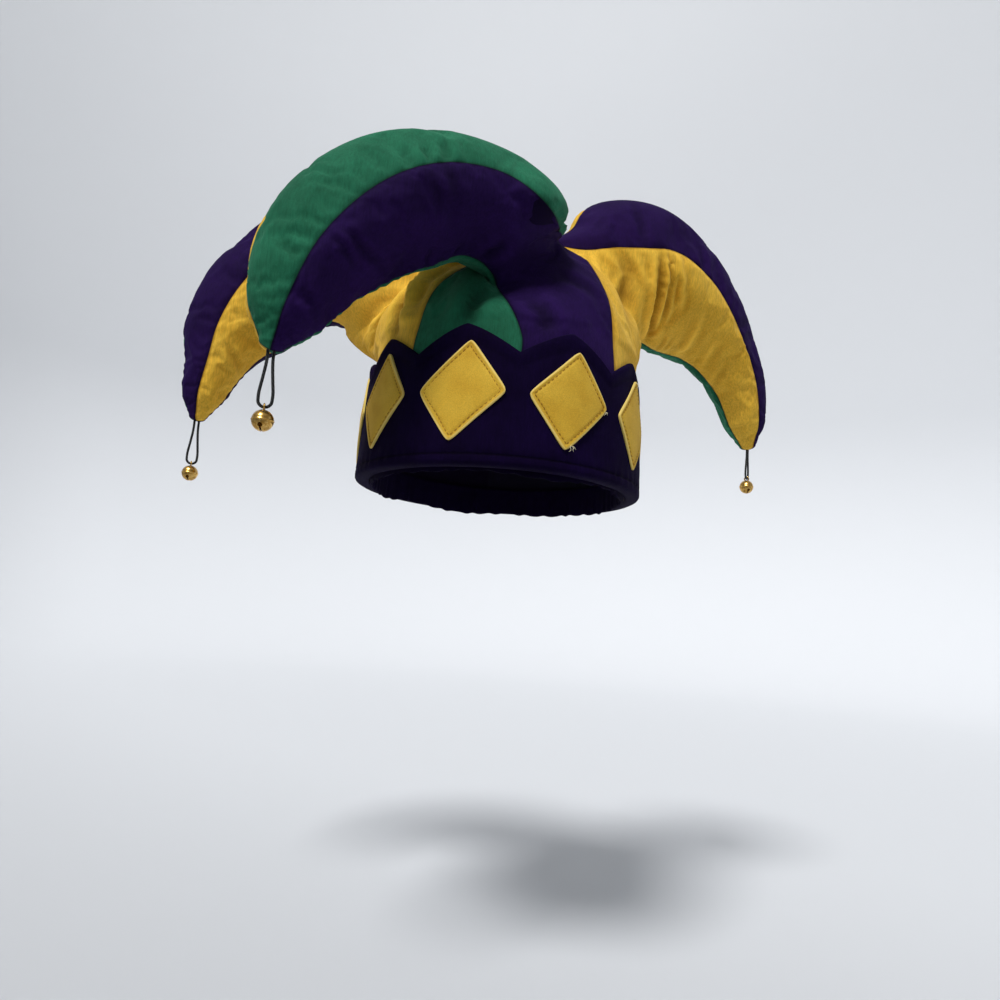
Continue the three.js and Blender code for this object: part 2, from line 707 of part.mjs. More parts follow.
// A jingle bell hung on the lower end of its cord: a hollow ball with a slit and its wire eye.
function bell(horn) {
  const tip = hornTip(horn);
  const eyeRadius = (BELL_EYE_HOLE + BELL_EYE_WIRE) / 2;
  const eyeTop = tip.z - horn.cordHang + CORD_DIAMETER / 2 + CLEARANCE;
  const eyeMiddle = eyeTop + BELL_EYE_WIRE / 2 - eyeRadius;
  const radius = BELL_DIAMETER / 2;
  const middle = eyeMiddle - eyeRadius - radius + 0.5;
  const ball = toManifold(new THREE.SphereGeometry(radius, 16, 10).rotateX(Math.PI / 2));
  const hollow = toManifold(new THREE.SphereGeometry(radius - BELL_WALL, 12, 8).rotateX(Math.PI / 2));
  const slit = toManifold(new THREE.BoxGeometry(BELL_SLIT, 2 * radius, radius).translate(0, 0, -radius * 0.82));
  const eye = new THREE.TorusGeometry(eyeRadius, BELL_EYE_WIRE / 2, 6, 12);
  const ring = toManifold(eye.translate(0, eyeMiddle - middle, 0).rotateX(Math.PI / 2));
  const shell = ball.subtract(hollow).subtract(slit).add(ring);
  return fromManifold(shell.translate([tip.x, tip.y, middle]));
}

function fabric(colour) {
  return new THREE.MeshStandardMaterial({ color: COLOURS[colour], roughness: 0.85, metalness: 0 });
}

const hat = new THREE.Group();

function addPiece(name, geometry, material) {
  const mesh = new THREE.Mesh(geometry, material);
  mesh.name = name;
  hat.add(mesh);
}

for (const horn of HORNS) {
  addPiece(`${horn.name}_horn_lower_gore_right`, lowerGore(horn, 1), fabric(horn.right));
  addPiece(`${horn.name}_horn_lower_gore_left`, lowerGore(horn, -1), fabric(horn.left));
  addPiece(`${horn.name}_horn_upper_gore_right`, upperGore(horn, 1), fabric(horn.upperRight));
  addPiece(`${horn.name}_horn_upper_gore_left`, upperGore(horn, -1), fabric(horn.upperLeft));
}
addPiece("cuff", cuff(), fabric("cuff"));
addPiece("inner_hem", innerHem(), fabric("cuff"));
for (let i = 0; i < CUFF_POINTS; i += 1) {
  const azimuth = (360 / CUFF_POINTS) * (i + 0.5);
  addPiece(`diamond_${i + 1}`, diamond(azimuth), fabric("patch"));
}
for (const horn of HORNS) {
  addPiece(
    `${horn.name}_cord`,
    cord(horn),
    new THREE.MeshStandardMaterial({ color: COLOURS.cord, roughness: 0.7, metalness: 0 }),
  );
  addPiece(
    `${horn.name}_bell`,
    bell(horn),
    new THREE.MeshStandardMaterial({ color: COLOURS.brass, roughness: 0.25, metalness: 1 }),
  );
}

export default hat;
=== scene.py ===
import math

import bmesh
import bpy
import numpy as np
from mathutils import Matrix, Vector


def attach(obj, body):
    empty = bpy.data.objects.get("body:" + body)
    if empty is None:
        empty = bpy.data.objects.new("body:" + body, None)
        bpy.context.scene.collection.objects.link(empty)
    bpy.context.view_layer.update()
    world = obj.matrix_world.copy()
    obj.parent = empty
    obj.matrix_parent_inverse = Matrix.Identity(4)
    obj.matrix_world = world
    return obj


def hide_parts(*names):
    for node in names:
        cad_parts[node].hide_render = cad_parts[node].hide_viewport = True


# A cloth jester hat. Lengths are millimetres in the tables and metres in Blender. The rim lies at
# z = 0 around the middle of the head opening, and the front of the hat faces -Y.
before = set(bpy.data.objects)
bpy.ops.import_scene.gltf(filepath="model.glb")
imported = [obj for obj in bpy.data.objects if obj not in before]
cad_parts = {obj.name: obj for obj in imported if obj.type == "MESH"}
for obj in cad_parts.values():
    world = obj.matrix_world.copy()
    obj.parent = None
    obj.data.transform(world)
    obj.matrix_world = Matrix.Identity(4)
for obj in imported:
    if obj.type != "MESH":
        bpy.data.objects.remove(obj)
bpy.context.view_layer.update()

MM = 0.001
CLEARANCE = 0.3
OPENING_WIDTH = 181
OPENING_DEPTH = 203
CROWN_WALL = 5
CROWN_TOP = 175
APEX = (36, -14, 186)
HOLLOW_TOP = 142
RIM_EDGE = 1
CUFF_WALL = 3
CUFF_POINT_HEIGHT = 86
CUFF_NOTCH_HEIGHT = 69
CUFF_POINTS = 10
CUFF_FLARE = 1.2
HEM_WALL = 2
HEM_HEIGHT = 18
HEM_DROP = 3
HEM_WAVE = 1.5
DIAMOND_WIDTH = 53
DIAMOND_HEIGHT = 65
DIAMOND_WALL = 1.4
DIAMOND_FOOT = 11
DIAMOND_LEAN = 8
UNDER_ANGLE = 96
BELL_DIAMETER = 11.5
BELL_WALL = 0.7
BELL_SLIT = 1.1
BELL_SLIT_END = 1.25
BELL_SEAM = 0.3
BELL_EYE_WIRE = 1
BELL_EYE_HOLE = 2.6
CORD_DIAMETER = 1.7
CORD_BEND = 3.5
CORD_NECK = 1.6
CORD_SEAT = -0.3

# The crown's upright profile: radius and height of the outer cloth, then of the hollow.
CROWN = [
    (1.0, 0.0, 1.0, 0.0),
    (0.985, 0.26, 0.985, 0.3),
    (0.965, 0.49, 0.95, 0.57),
    (0.84, 0.69, 0.86, 0.72),
    (0.4, 0.9, 0.6, 0.89),
    (0.0, 1.0, 0.0, 1.0),
]

# The three horns. crotch and inside are (out, side, rise), and a station is (out, side, rise, tall,
# wide). colours are those of the lower right, lower left, upper right and upper left gore.
HORNS = [
    dict(
        name="front",
        azimuth=0,
        spans=(40, 40),
        reach=140,
        fullness=84,
        crotch=(0.72, -0.1, 0.57),
        inside=(0.68, -0.33, 0.6),
        colours=("purple", "green", "green", "yellow"),
        cord_hang=34,
        cord_turn=80,
        cord_length=71.6,
        stations=[
            (0.41, 0.12, 0.66, 1.1, 0.9),
            (0.46, 0.06, 0.79, 1.02, 0.88),
            (0.54, -0.04, 0.9, 0.9, 0.88),
            (0.61, -0.2, 0.95, 0.88, 0.9),
            (0.69, -0.4, 0.93, 0.93, 0.92),
            (0.76, -0.58, 0.86, 0.97, 0.88),
            (0.84, -0.74, 0.73, 0.93, 0.82),
            (0.92, -0.87, 0.56, 0.75, 0.68),
            (0.97, -0.94, 0.38, 0.5, 0.46),
            (1.0, -0.96, 0.27, 0.17, 0.17),
        ],
    ),
    dict(
        name="right",
        azimuth=120,
        spans=(60, 80),
        reach=245,
        fullness=108,
        crotch=(0.43, -0.01, 0.56),
        inside=(0.61, -0.05, 0.51),
        colours=("green", "yellow", "yellow", "purple"),
        cord_hang=29,
        cord_turn=40,
        cord_length=61.7,
        stations=[
            (0.29, -0.02, 0.75, 1.0, 0.95),
            (0.33, -0.02, 0.89, 1.0, 0.95),
            (0.38, -0.03, 1.1, 1.06, 0.92),
            (0.52, -0.06, 1.13, 1.1, 0.88),
            (0.65, -0.09, 1.07, 0.92, 0.78),
            (0.74, -0.11, 0.98, 0.72, 0.66),
            (0.83, -0.12, 0.86, 0.55, 0.54),
            (0.91, -0.13, 0.71, 0.43, 0.43),
            (0.96, -0.13, 0.54, 0.32, 0.32),
            (0.98, -0.13, 0.43, 0.13, 0.13),
        ],
    ),
    dict(
        name="left",
        azimuth=-120,
        spans=(80, 60),
        reach=220,
        fullness=104,
        crotch=(0.48, 0.03, 0.57),
        inside=(0.74, 0.1, 0.5),
        colours=("yellow", "purple", "purple", "green"),
        cord_hang=36,
        cord_turn=70,
        cord_length=75.6,
        stations=[
            (0.34, 0.04, 0.74, 0.94, 0.95),
            (0.44, 0.04, 0.89, 0.98, 0.95),
            (0.56, 0.05, 1.03, 1.0, 0.92),
            (0.7, 0.09, 1.07, 1.02, 0.86),
            (0.84, 0.15, 0.98, 0.98, 0.78),
            (0.94, 0.22, 0.81, 0.84, 0.68),
            (0.98, 0.28, 0.64, 0.62, 0.54),
            (0.99, 0.31, 0.48, 0.42, 0.4),
            (1.0, 0.33, 0.35, 0.29, 0.29),
            (1.0, 0.34, 0.26, 0.12, 0.12),
        ],
    ),
]

# Folds of the stuffed gores: the (row, across) places that a fold runs through, then its depth and
# width in millimetres. A negative depth is a ridge. FOLD_DEPTH strengthens all of them.
FOLD_DEPTH = 1.3
FOLDS = {
    "right_horn_lower_gore_left": [
        ([(5.2, 0.96), (4.8, 0.9), (4.4, 0.87)], -1.0, 2.6),
        ([(5.3, 0.96), (5.0, 0.86), (4.6, 0.8)], -1.2, 2.6),
        ([(5.4, 0.97), (5.4, 0.78), (5.1, 0.68), (4.4, 0.7)], -1.6, 3),
        ([(5.6, 0.85), (5.1, 0.6), (4.2, 0.66), (3.2, 0.74)], 2.4, 8),
        ([(5.8, 0.94), (5.8, 0.62)], -1.2, 3),
        ([(6.3, 0.94), (6.1, 0.6), (5.9, 0.4), (6.3, 0.1)], 3.6, 3),
        ([(6.1, 0.9), (5.9, 0.6), (5.7, 0.4), (6.1, 0.12)], -1.8, 2.6),
        ([(6.5, 0.95), (6.4, 0.6), (6.4, 0.3)], 2.2, 2.2),
        ([(5.2, 0.3), (4.6, 0.35), (3.8, 0.38)], -1.2, 3),
        ([(6.8, 0.95), (6.9, 0.7), (7.0, 0.5)], -1.3, 2.6),
        ([(6.5, 0.98), (6.45, 0.75)], 1.2, 1.6),
        ([(6.65, 0.98), (6.6, 0.78)], 1.2, 1.6),
        ([(7.9, 0.6), (8.1, 0.3), (8.2, 0.08)], -1.5, 3),
        ([(6.9, 0.2), (7.0, 0.02)], 1.1, 1.8),
        ([(7.2, 0.25), (7.3, 0.02)], 1.3, 1.8),
        ([(7.5, 0.22), (7.6, 0.02)], 1.3, 1.8),
        ([(7.75, 0.2), (7.85, 0.02)], 1.0, 1.6),
        ([(9.2, 0.55), (9.8, 0.1)], -0.9, 2.6),
        ([(10.2, 0.5), (10.7, 0.06)], 0.9, 2.2),
    ],
    "front_horn_lower_gore_right": [
        ([(10.7, 0.93), (10.7, 0.6), (10.5, 0.25)], 1.3, 2.2),
        ([(10.9, 0.95), (10.95, 0.5)], 1.0, 1.9),
        ([(3.1, 0.25), (2.4, 0.27), (2.0, 0.25)], 2.5, 5),
        ([(8.8, 0.96), (8.8, 0.6)], 0.9, 2.5),
        ([(11.8, 0.9), (12.0, 0.4)], 0.8, 2.2),
        ([(6.0, 0.05), (6.1, 0.4)], 2.0, 4),
        ([(8.4, 0.97), (8.2, 0.67)], 1.0, 2.2),
        ([(3.0, 0.85), (3.6, 0.55)], 1.3, 4),
        ([(9.3, 0.02), (9.2, 0.25)], 0.9, 2),
        ([(7.6, 0.02), (7.6, 0.2)], 0.9, 2),
    ],
    "front_horn_upper_gore_right": [
        ([(9.0, 0.02), (8.9, 0.25)], 1.0, 2.2),
        ([(8.3, 0.02), (8.2, 0.3)], 1.1, 2.2),
        ([(8.65, 0.02), (8.55, 0.22)], 0.9, 1.9),
        ([(11.4, 0.05), (11.3, 0.4)], 0.9, 2.2),
    ],
    "front_horn_upper_gore_left": [
        ([(7.4, 0.1), (7.2, 0.6)], 1.4, 3),
        ([(9.6, 0.05), (9.5, 0.4)], 1.0, 2.4),
    ],
    "front_horn_lower_gore_left": [
        ([(3.4, 0.35), (2.6, 0.42), (1.8, 0.5)], 2.0, 5),
        ([(8.6, 0.9), (8.4, 0.4)], 1.2, 3),
    ],
    "left_horn_lower_gore_right": [
        ([(5.3, 0.75), (4.2, 0.72), (3.0, 0.82), (2.0, 0.92)], -3.0, 5),
        ([(5.4, 0.5), (4.6, 0.3), (3.3, 0.15)], -2.2, 5),
        ([(4.4, 0.62), (2.8, 0.76), (1.9, 0.8)], 2.5, 4.5),
        ([(9.0, 0.75), (9.7, 0.33)], -0.9, 2.6),
        ([(10.5, 0.8), (10.9, 0.25)], 0.9, 2.2),
        ([(7.0, 0.2), (7.2, 0.02)], 1.2, 2.2),
        ([(7.6, 0.2), (7.7, 0.02)], 1.2, 2.2),
    ],
    "left_horn_lower_gore_left": [
        ([(5.6, 0.9), (5.3, 0.5), (4.0, 0.5)], 2.5, 6),
        ([(7.2, 0.3), (7.3, 0.02)], 1.3, 2.4),
        ([(7.8, 0.9), (7.9, 0.5)], 1.2, 2.6),
    ],
    "left_horn_upper_gore_right": [
        ([(6.6, 0.1), (6.5, 0.5)], 1.2, 3),
    ],
    "left_horn_upper_gore_left": [
        ([(7.3, 0.02), (7.2, 0.4)], 1.1, 2.6),
    ],
    "right_horn_lower_gore_right": [
        ([(5.8, 0.9), (5.4, 0.5), (4.2, 0.5)], 2.5, 6),
        ([(7.0, 0.3), (7.1, 0.02)], 1.3, 2.4),
        ([(7.9, 0.95), (8.0, 0.5)], 1.2, 2.6),
    ],
    "right_horn_upper_gore_left": [
        ([(6.3, 0.5), (6.1, 0.2), (6.0, 0.03)], 1.3, 3),
        ([(7.6, 0.35), (7.7, 0.03)], 1.3, 3),
        ([(8.2, 0.3), (8.3, 0.03)], 0.9, 2.5),
    ],
    "right_horn_upper_gore_right": [
        ([(6.8, 0.05), (6.7, 0.5)], 1.2, 3),
    ],
}

# How the stuffing is simulated: a pressure blows the cloth up between its held seams.
CLOTH_EASE = 0.018
CLOTH_SETTINGS = dict(
    quality=6,
    mass=0.3,
    tension_stiffness=20,
    compression_stiffness=20,
    shear_stiffness=8,
    bending_stiffness=0.4,
    tension_damping=8,
    compression_damping=8,
    air_damping=2,
    use_pressure=True,
    uniform_pressure_force=4,
)
SIM_FRAMES = 16
MOST_MOVE = 5

# Held rows, near the rim and at the tip, and the rows where folds and seam relief start and end.
WALL_HELD = 0.2
TIP_HELD = 12.9
RELIEF_STARTS = (1.6, 2.4)
RELIEF_ENDS = (12.6, 13.2)

# The dip of a seam, and the puckers beside it, in millimetres. Narrow gores have less of both.
SEAM_DIP = 1.0
SEAM_DIP_WIDTH = 2.0
PUCKER_HEIGHT = 0.12
PUCKER_REACH = 4.5
PUCKER_SPACING = 8.5
NARROW_GORE = 30

# Painted light and shade in the gores' colour: painted shade along seams and in folds, a painted highlight
# on fold crests, and painted shade on the cloth's wrong side and at the rim.
SEAM_LIGHT = 0.25
SEAM_WIDTH = 1.8
FOLD_SHADE = 0.5
FOLD_SHADE_DEPTH = 2.5
CREST_HIGHLIGHT_SHARE = 0.45
CREST_HEIGHT = 2
INSIDE_SHADE_SHARE = 0.8
RIM_ROWS = 0.12

# The running stitch on the diamonds, and its loose ends: diamond, corner (u, v), then for each end how
# far it reaches to the side, how far it drops and how much it curls.
STITCH_INSET = 2.9
STITCH_STEP = 2.9
STITCH_LENGTH = 2.1
STITCH_THICKNESS = 0.55
LOOSE_THREAD = 0.4
LOOSE_THREADS = [
    (1, (0.12, 0.01), [(2.2, 3.2, 0.6), (-1.2, 3.6, -0.5), (3.4, 1.6, 0.3)]),
    (1, (0.93, 0.01), [(1.6, 1.8, 0.4), (-0.5, 2.4, 0.3)]),
    (2, (0.95, 0.98), [(2.0, 1.8, 0.5), (1.0, 3.4, -0.4)]),
]

# The even part of the swelling is mostly taken off again, so that the hat keeps its size.
SWELLING_ROUNDS = 60
SWELLING_SHARE = 0.8

# Parts of the skin that are drawn smooth: horn, upper gores too, columns left alone at the outer seam,
# strength, then the rows where it starts, is full, is still full and ends.
EASED = [
    ("front", False, 1, 0.5, 1.7, 2.4, 6.5, 8.0),
    ("left", True, 0, 0.25, 5.4, 6.0, 7.1, 7.9),
    ("right", False, 1, 0.3, 2.2, 3.0, 5.6, 6.6),
]
EASED_TIMES = 110

# Near the point where the gores meet they are thin, so that nothing inside shows: wall and rows.
THIN_WALL = 1.2
THIN_ROWS = (6.4, 8.6)
APEX_REACH = 16

# Where the six gores meet, the hollow between the horns is filled smooth: distances and times.
APEX_FILLED = (12, 40)
APEX_TIMES = 60

# After the stuffing it is smoothed once more. Folds and seam relief fade out towards it.
APEX_SMOOTHED = (15, 36)
APEX_SMOOTHED_TIMES = 14
APEX_FADE = (10, 30)

WALL_ROW = 2
TOP_ROW = 5
FIRST_STATION = 4
TIP_ROW = 13
FREE_ROW = 6.5
STEP = 0.1
LOWER_COLUMNS = 24
UPPER_COLUMNS = 18
FINER = 2
TIP_ROUNDS = 5

HOLLOW = (OPENING_WIDTH / 2, OPENING_DEPTH / 2)
OUTER = (HOLLOW[0] + CROWN_WALL, HOLLOW[1] + CROWN_WALL)


def unit(v):
    length = np.linalg.norm(v, axis=-1, keepdims=True)
    return v / np.maximum(length, 1e-9)


def smooth(x, low, high):
    t = np.clip((np.asarray(x, float) - low) / (high - low), 0, 1)
    return t * t * (3 - 2 * t)


def on_oval(half, share, azimuth, z):
    a = np.radians(azimuth)
    radius = share / np.hypot(np.sin(a) / half[0], np.cos(a) / half[1])
    x, y, z = np.broadcast_arrays(radius * np.sin(a), -radius * np.cos(a), z)
    return np.stack([x, y, z], -1)


def from_oval(azimuth):
    a = np.radians(np.asarray(azimuth, float))
    return np.stack([np.sin(a), -np.cos(a), 0 * a], -1)


def from_horn(horn, out, side, up):
    a = math.radians(horn["azimuth"])
    x = out * math.sin(a) + side * math.cos(a)
    y = -out * math.cos(a) + side * math.sin(a)
    return np.stack(np.broadcast_arrays(x, y, up), -1)


def placed(horn, place):
    return from_horn(horn, place[0] * horn["reach"], place[1] * horn["reach"], place[2] * CROWN_TOP)


def outer_height(share):
    return RIM_EDGE + share * (CROWN_TOP - RIM_EDGE)


def hollow_height(share):
    return RIM_EDGE + share * (HOLLOW_TOP - RIM_EDGE)


def extended(p):
    """The points with one more before the first and after the last, straight on."""
    return np.concatenate([2 * p[:1] - p[1:2], p, 2 * p[-1:] - p[-2:-1]])


def between(ext, k, t):
    """The smooth line through extended points, t of the way from point k to the next."""
    a, b, c, d = ext[k], ext[k + 1], ext[k + 2], ext[k + 3]
    cubic = -a + 3 * b - 3 * c + d
    return 0.5 * (2 * b + (c - a) * t + (2 * a - 5 * b + 4 * c - d) * t**2 + cubic * t**3)


def seam_line(points):
    """A smooth line through one point for each row, read at any rows."""
    p = np.array(points, float)
    ext = extended(p)

    def at(rows):
        rows = np.clip(np.asarray(rows, float), 0, len(p) - 1)
        k = np.minimum(rows.astype(int), len(p) - 2)
        return between(ext, k, (rows - k)[..., None])

    return at


def cornered_line(points):
    rising = seam_line(points[: TOP_ROW + 1])
    leaving = seam_line(points[TOP_ROW:])

    def at(rows):
        rows = np.asarray(rows, float)
        return np.where((rows <= TOP_ROW)[..., None], rising(rows), leaving(rows - TOP_ROW))

    return at


def horn_frames(horn):
    """(middle, inner direction, direction across, half tall, half wide) of each station."""
    middle = np.array([placed(horn, s) for s in horn["stations"]])
    ext = extended(middle)
    bend = placed(horn, horn["inside"])
    found = []
    for i, station in enumerate(horn["stations"]):
        along = unit(ext[i + 2] - ext[i])
        inner = unit(bend - middle[i])
        square = float(smooth(i, 4, 8))
        inner = unit(inner - square * inner.dot(along) * along)
        across = unit(np.cross(along, inner))
        half = horn["fullness"] / 2
        found.append((middle[i], inner, across, station[3] * half, station[4] * half))
    return found


def on_section(f, angle, side):
    a = math.radians(angle)
    return f[0] + f[3] * math.cos(a) * f[1] + side * f[4] * math.sin(a) * f[2]


def outwards(f, angle, side):
    a = math.radians(angle)
    return math.cos(a) * f[1] + side * math.sin(a) * f[2]


def span(horn, side):
    return horn["spans"][0 if side > 0 else 1]


def valley_point(azimuth, row):
    """A point of the seam in the valley between two horns, which runs straight to the apex in plan."""
    radius, height = CROWN[row][:2]
    wall = on_oval(OUTER, CROWN[WALL_ROW][0], azimuth, outer_height(CROWN[WALL_ROW][1]))
    if row <= WALL_ROW:
        return on_oval(OUTER, radius, azimuth, outer_height(height))
    inwards = 1 - radius / CROWN[WALL_ROW][0]
    rise = (height - CROWN[WALL_ROW][1]) / (1 - CROWN[WALL_ROW][1])
    return wall + (np.array(APEX, float) - wall) * np.array([inwards, inwards, rise])


def horn_seams(horn, side):
    frames = horn_frames(horn)
    valley = horn["azimuth"] + side * span(horn, side)
    top = np.array(APEX, float)
    past = frames[TOP_ROW + 1 - FIRST_STATION :]
    wall = [on_oval(OUTER, r[0], horn["azimuth"], outer_height(r[1])) for r in CROWN[: WALL_ROW + 1]]
    under = [*wall, placed(horn, horn["crotch"]), *[on_section(f, 0, side) for f in frames]]
    rising = [valley_point(valley, k) for k in range(TOP_ROW)]
    upper = [*rising, top, *[on_section(f, UNDER_ANGLE, side) for f in past]]
    spine = [*[top] * TOP_ROW, top, *[on_section(f, 180, side) for f in past]]
    hollow_end = np.array([0, 0, HOLLOW_TOP], float)
    core = [*[hollow_end] * TOP_ROW, hollow_end, *[f[0] for f in past]]
    flat = [from_oval(horn["azimuth"] + side * span(horn, side) / 2)] * FIRST_STATION
    high = [np.array([0, 0, 1.0])] * FIRST_STATION
    return dict(
        under=seam_line(under),
        upper=cornered_line(upper),
        spine=cornered_line(spine),
        core=cornered_line(core),
        bulge=seam_line([*flat, *[outwards(f, UNDER_ANGLE / 2, side) for f in frames]]),
        upper_bulge=seam_line([*high, *[outwards(f, (UNDER_ANGLE + 180) / 2, side) for f in frames]]),
    )


def bowed(a, b, bulge, half_angle, share):
    """Points of the round arcs from a to b that bow towards bulge. Arrays of one shape."""
    chord = b - a
    half = np.linalg.norm(chord, axis=-1, keepdims=True) / 2
    along = unit(chord)
    out = unit(bulge - np.sum(bulge * along, -1, keepdims=True) * along)
    h = np.radians(np.asarray(half_angle, float))
    h = h[..., None] if h.ndim else h
    turn = h * (2 * share - 1)
    rise = half * (np.cos(turn) - np.cos(h)) / np.sin(h)
    arc = (a + b) / 2 + along * half * np.sin(turn) / np.sin(h) + out * rise
    return np.where(half < 1e-6, a, arc)


def kept_in_share(p, horn):
    """Keeps points inside their horn's share of the crown, so that neighbouring gores only meet."""
    apex = np.array([APEX[0], APEX[1], 0.0])
    for side in (1, -1):
        azimuth = horn["azimuth"] + side * span(horn, side)
        wall = on_oval(OUTER, CROWN[WALL_ROW][0], azimuth, 0.0)
        along = unit(wall - apex)
        across = side * np.array([-along[1], along[0], 0.0])
        over = np.maximum(0, (p - apex) @ across)
        p = p - over[..., None] * across
    return p


def wall_profile(rows, column):
    rows = np.minimum(rows, TOP_ROW)
    return np.interp(rows, range(TOP_ROW + 1), [r[column] for r in CROWN])


def lower_points(horn, side, seams, rows, shares):
    r = rows[:, None]
    s = shares[None, :, None]
    a = seams["under"](rows)[:, None]
    b = seams["upper"](rows)[:, None]
    half_span = span(horn, side) / 2
    half_angle = half_span + (UNDER_ANGLE / 2 - half_span) * smooth(r, WALL_ROW, TOP_ROW + 1)
    bulge = unit(seams["bulge"](rows))[:, None]
    shape = (len(rows), len(shares), 3)
    a, b, bulge = [np.broadcast_to(v, shape) for v in (a, b, bulge)]
    points = bowed(a, b, bulge, np.broadcast_to(half_angle, shape[:2]), s)
    wall = np.minimum(rows, WALL_ROW)
    radius = wall_profile(wall, 0)[:, None]
    height = outer_height(wall_profile(wall, 1))[:, None]
    azimuth = horn["azimuth"] + side * span(horn, side) * shares[None, :]
    oval = on_oval(OUTER, radius, azimuth, height)
    near = on_oval(OUTER, radius, horn["azimuth"] + 0 * azimuth, height)
    far = on_oval(OUTER, radius, horn["azimuth"] + side * 2 * half_span + 0 * azimuth, height)
    middle = np.broadcast_to(from_oval(horn["azimuth"] + side * half_span), shape)
    flat = bowed(near, far, middle, float(half_span), s)
    points = points + (oval - flat) * (1 - smooth(r, WALL_ROW, WALL_ROW + 2))[..., None]
    return np.where(((r > WALL_ROW) & (r < FREE_ROW))[..., None], kept_in_share(points, horn), points)


def upper_points(horn, seams, rows, shares):
    shape = (len(rows), len(shares), 3)
    a, b, bulge = [
        np.broadcast_to(v[:, None], shape)
        for v in (seams["upper"](rows), seams["spine"](rows), unit(seams["upper_bulge"](rows)))
    ]
    points = bowed(a, b, bulge, (180 - UNDER_ANGLE) / 2, shares[None, :, None])
    return np.where((rows < FREE_ROW)[:, None, None], kept_in_share(points, horn), points)


def inner_points(horn, side, seams, rows, shares):
    radius = wall_profile(rows, 2)[:, None]
    height = hollow_height(wall_profile(rows, 3))[:, None]
    azimuth = horn["azimuth"] + side * span(horn, side) * shares[None, :]
    hollow = on_oval(HOLLOW, radius, azimuth, height)
    core = np.broadcast_to(seams["core"](np.maximum(rows, TOP_ROW))[:, None], hollow.shape)
    return np.where((rows >= TOP_ROW)[:, None, None], core, hollow)


ROWS = np.round(np.arange(0, TIP_ROW + STEP / 2, STEP), 4)


def rounded_tip(grid, middle, along):
    """Rows that close a gore's end to the horn's tip."""
    last = grid[-1]
    radius = float(np.mean(np.linalg.norm(last - middle, axis=-1)))
    rounds = []
    for k in range(1, TIP_ROUNDS + 1):
        turn = k / TIP_ROUNDS * math.pi / 2
        rounds.append(middle + (last - middle) * math.cos(turn) + along * 0.5 * radius * math.sin(turn))
    return np.concatenate([grid, np.array(rounds)])


def hat_gores():
    """Every gore with its outer grid, its inner grid and the key of each outer point."""
    found = []
    top_index = int(round(TOP_ROW / STEP))
    for horn in HORNS:
        frames = horn_frames(horn)
        along = unit(frames[-1][0] - frames[-2][0])
        for n, (side, upper) in enumerate([(1, False), (-1, False), (1, True), (-1, True)]):
            seams = horn_seams(horn, side)
            rows = ROWS[top_index:] if upper else ROWS
            columns = UPPER_COLUMNS if upper else LOWER_COLUMNS
            shares = np.linspace(0, 1, columns + 1)
            if upper:
                outer = upper_points(horn, seams, rows, shares)
            else:
                outer = lower_points(horn, side, seams, rows, shares)
            inner = inner_points(horn, side, seams, rows, shares)
            outer = rounded_tip(outer, frames[-1][0], along)
            inner = np.concatenate([inner, np.repeat(inner[-1:], TIP_ROUNDS, 0)])
            all_rows = np.concatenate([rows, TIP_ROW + 0.1 * np.arange(1, TIP_ROUNDS + 1)])
            keys = []
            first = top_index if upper else 0
            for i in range(len(all_rows)):
                at = i + first
                line = [("inside", horn["name"], n, at, c) for c in range(columns + 1)]
                seam = ("upper", horn["name"], side, at)
                if upper:
                    line[0] = seam
                    line[-1] = ("spine", horn["name"], at)
                else:
                    line[0] = ("under", horn["name"], at)
                    valley = (horn["azimuth"] + side * span(horn, side)) % 360
                    line[-1] = ("valley", valley, at) if at < top_index else seam
                    if at == top_index:
                        line[-1] = ("top",)
                if upper and at == top_index:
                    line = [("top",)] * (columns + 1)
                if i == len(all_rows) - 1:
                    line = [("tip", horn["name"])] * (columns + 1)
                keys.append(line)
            where = "upper" if upper else "lower"
            sided = "right" if side > 0 else "left"
            found.append(
                dict(
                    name=f"{horn['name']}_horn_{where}_gore_{sided}",
                    horn=horn,
                    side=side,
                    upper=upper,
                    colour=horn["colours"][n],
                    rows=all_rows,
                    shares=shares,
                    outer=outer,
                    inner=inner,
                    keys=keys,
                )
            )
    return found


def normals_of(grid, inner):
    along = np.gradient(grid, axis=0)
    across = np.gradient(grid, axis=1)
    normal = np.cross(along, across)
    length = np.linalg.norm(normal, axis=-1, keepdims=True)
    outwards_now = grid - inner
    normal = np.where(length < 1e-9, outwards_now, normal)
    normal = unit(normal)
    sign = np.sign(np.sum(np.sum(normal * unit(outwards_now), -1)))
    return normal * (sign if sign else 1)


def fold_push(name, grid, rows, shares):
    """How far the folds in the table move each point along its normal."""
    push = np.zeros(grid.shape[:2])
    for places, depth, width in FOLDS.get(name, []):
        steps = np.linspace(0, 1, 48)
        knots = np.linspace(0, 1, len(places))
        at_row = np.interp(steps, knots, [p[0] for p in places])
        at_share = np.interp(steps, knots, [p[1] for p in places])
        i = np.interp(at_row, rows, np.arange(len(rows)))
        j = np.interp(at_share, shares, np.arange(len(shares)))
        line = grid[np.round(i).astype(int), np.round(j).astype(int)]
        away = np.linalg.norm(grid[:, :, None] - line[None, None], axis=-1)
        nearest = np.argmin(away, -1)
        away = np.min(away, -1)
        taper = np.sin(np.pi * (0.04 + 0.92 * steps[nearest])) ** 0.7
        groove = np.exp(-((away / width) ** 2))
        shoulder = np.exp(-(((away - 2.1 * width) / width) ** 2))
        push += depth * taper * (0.4 * shoulder - groove)
    return push


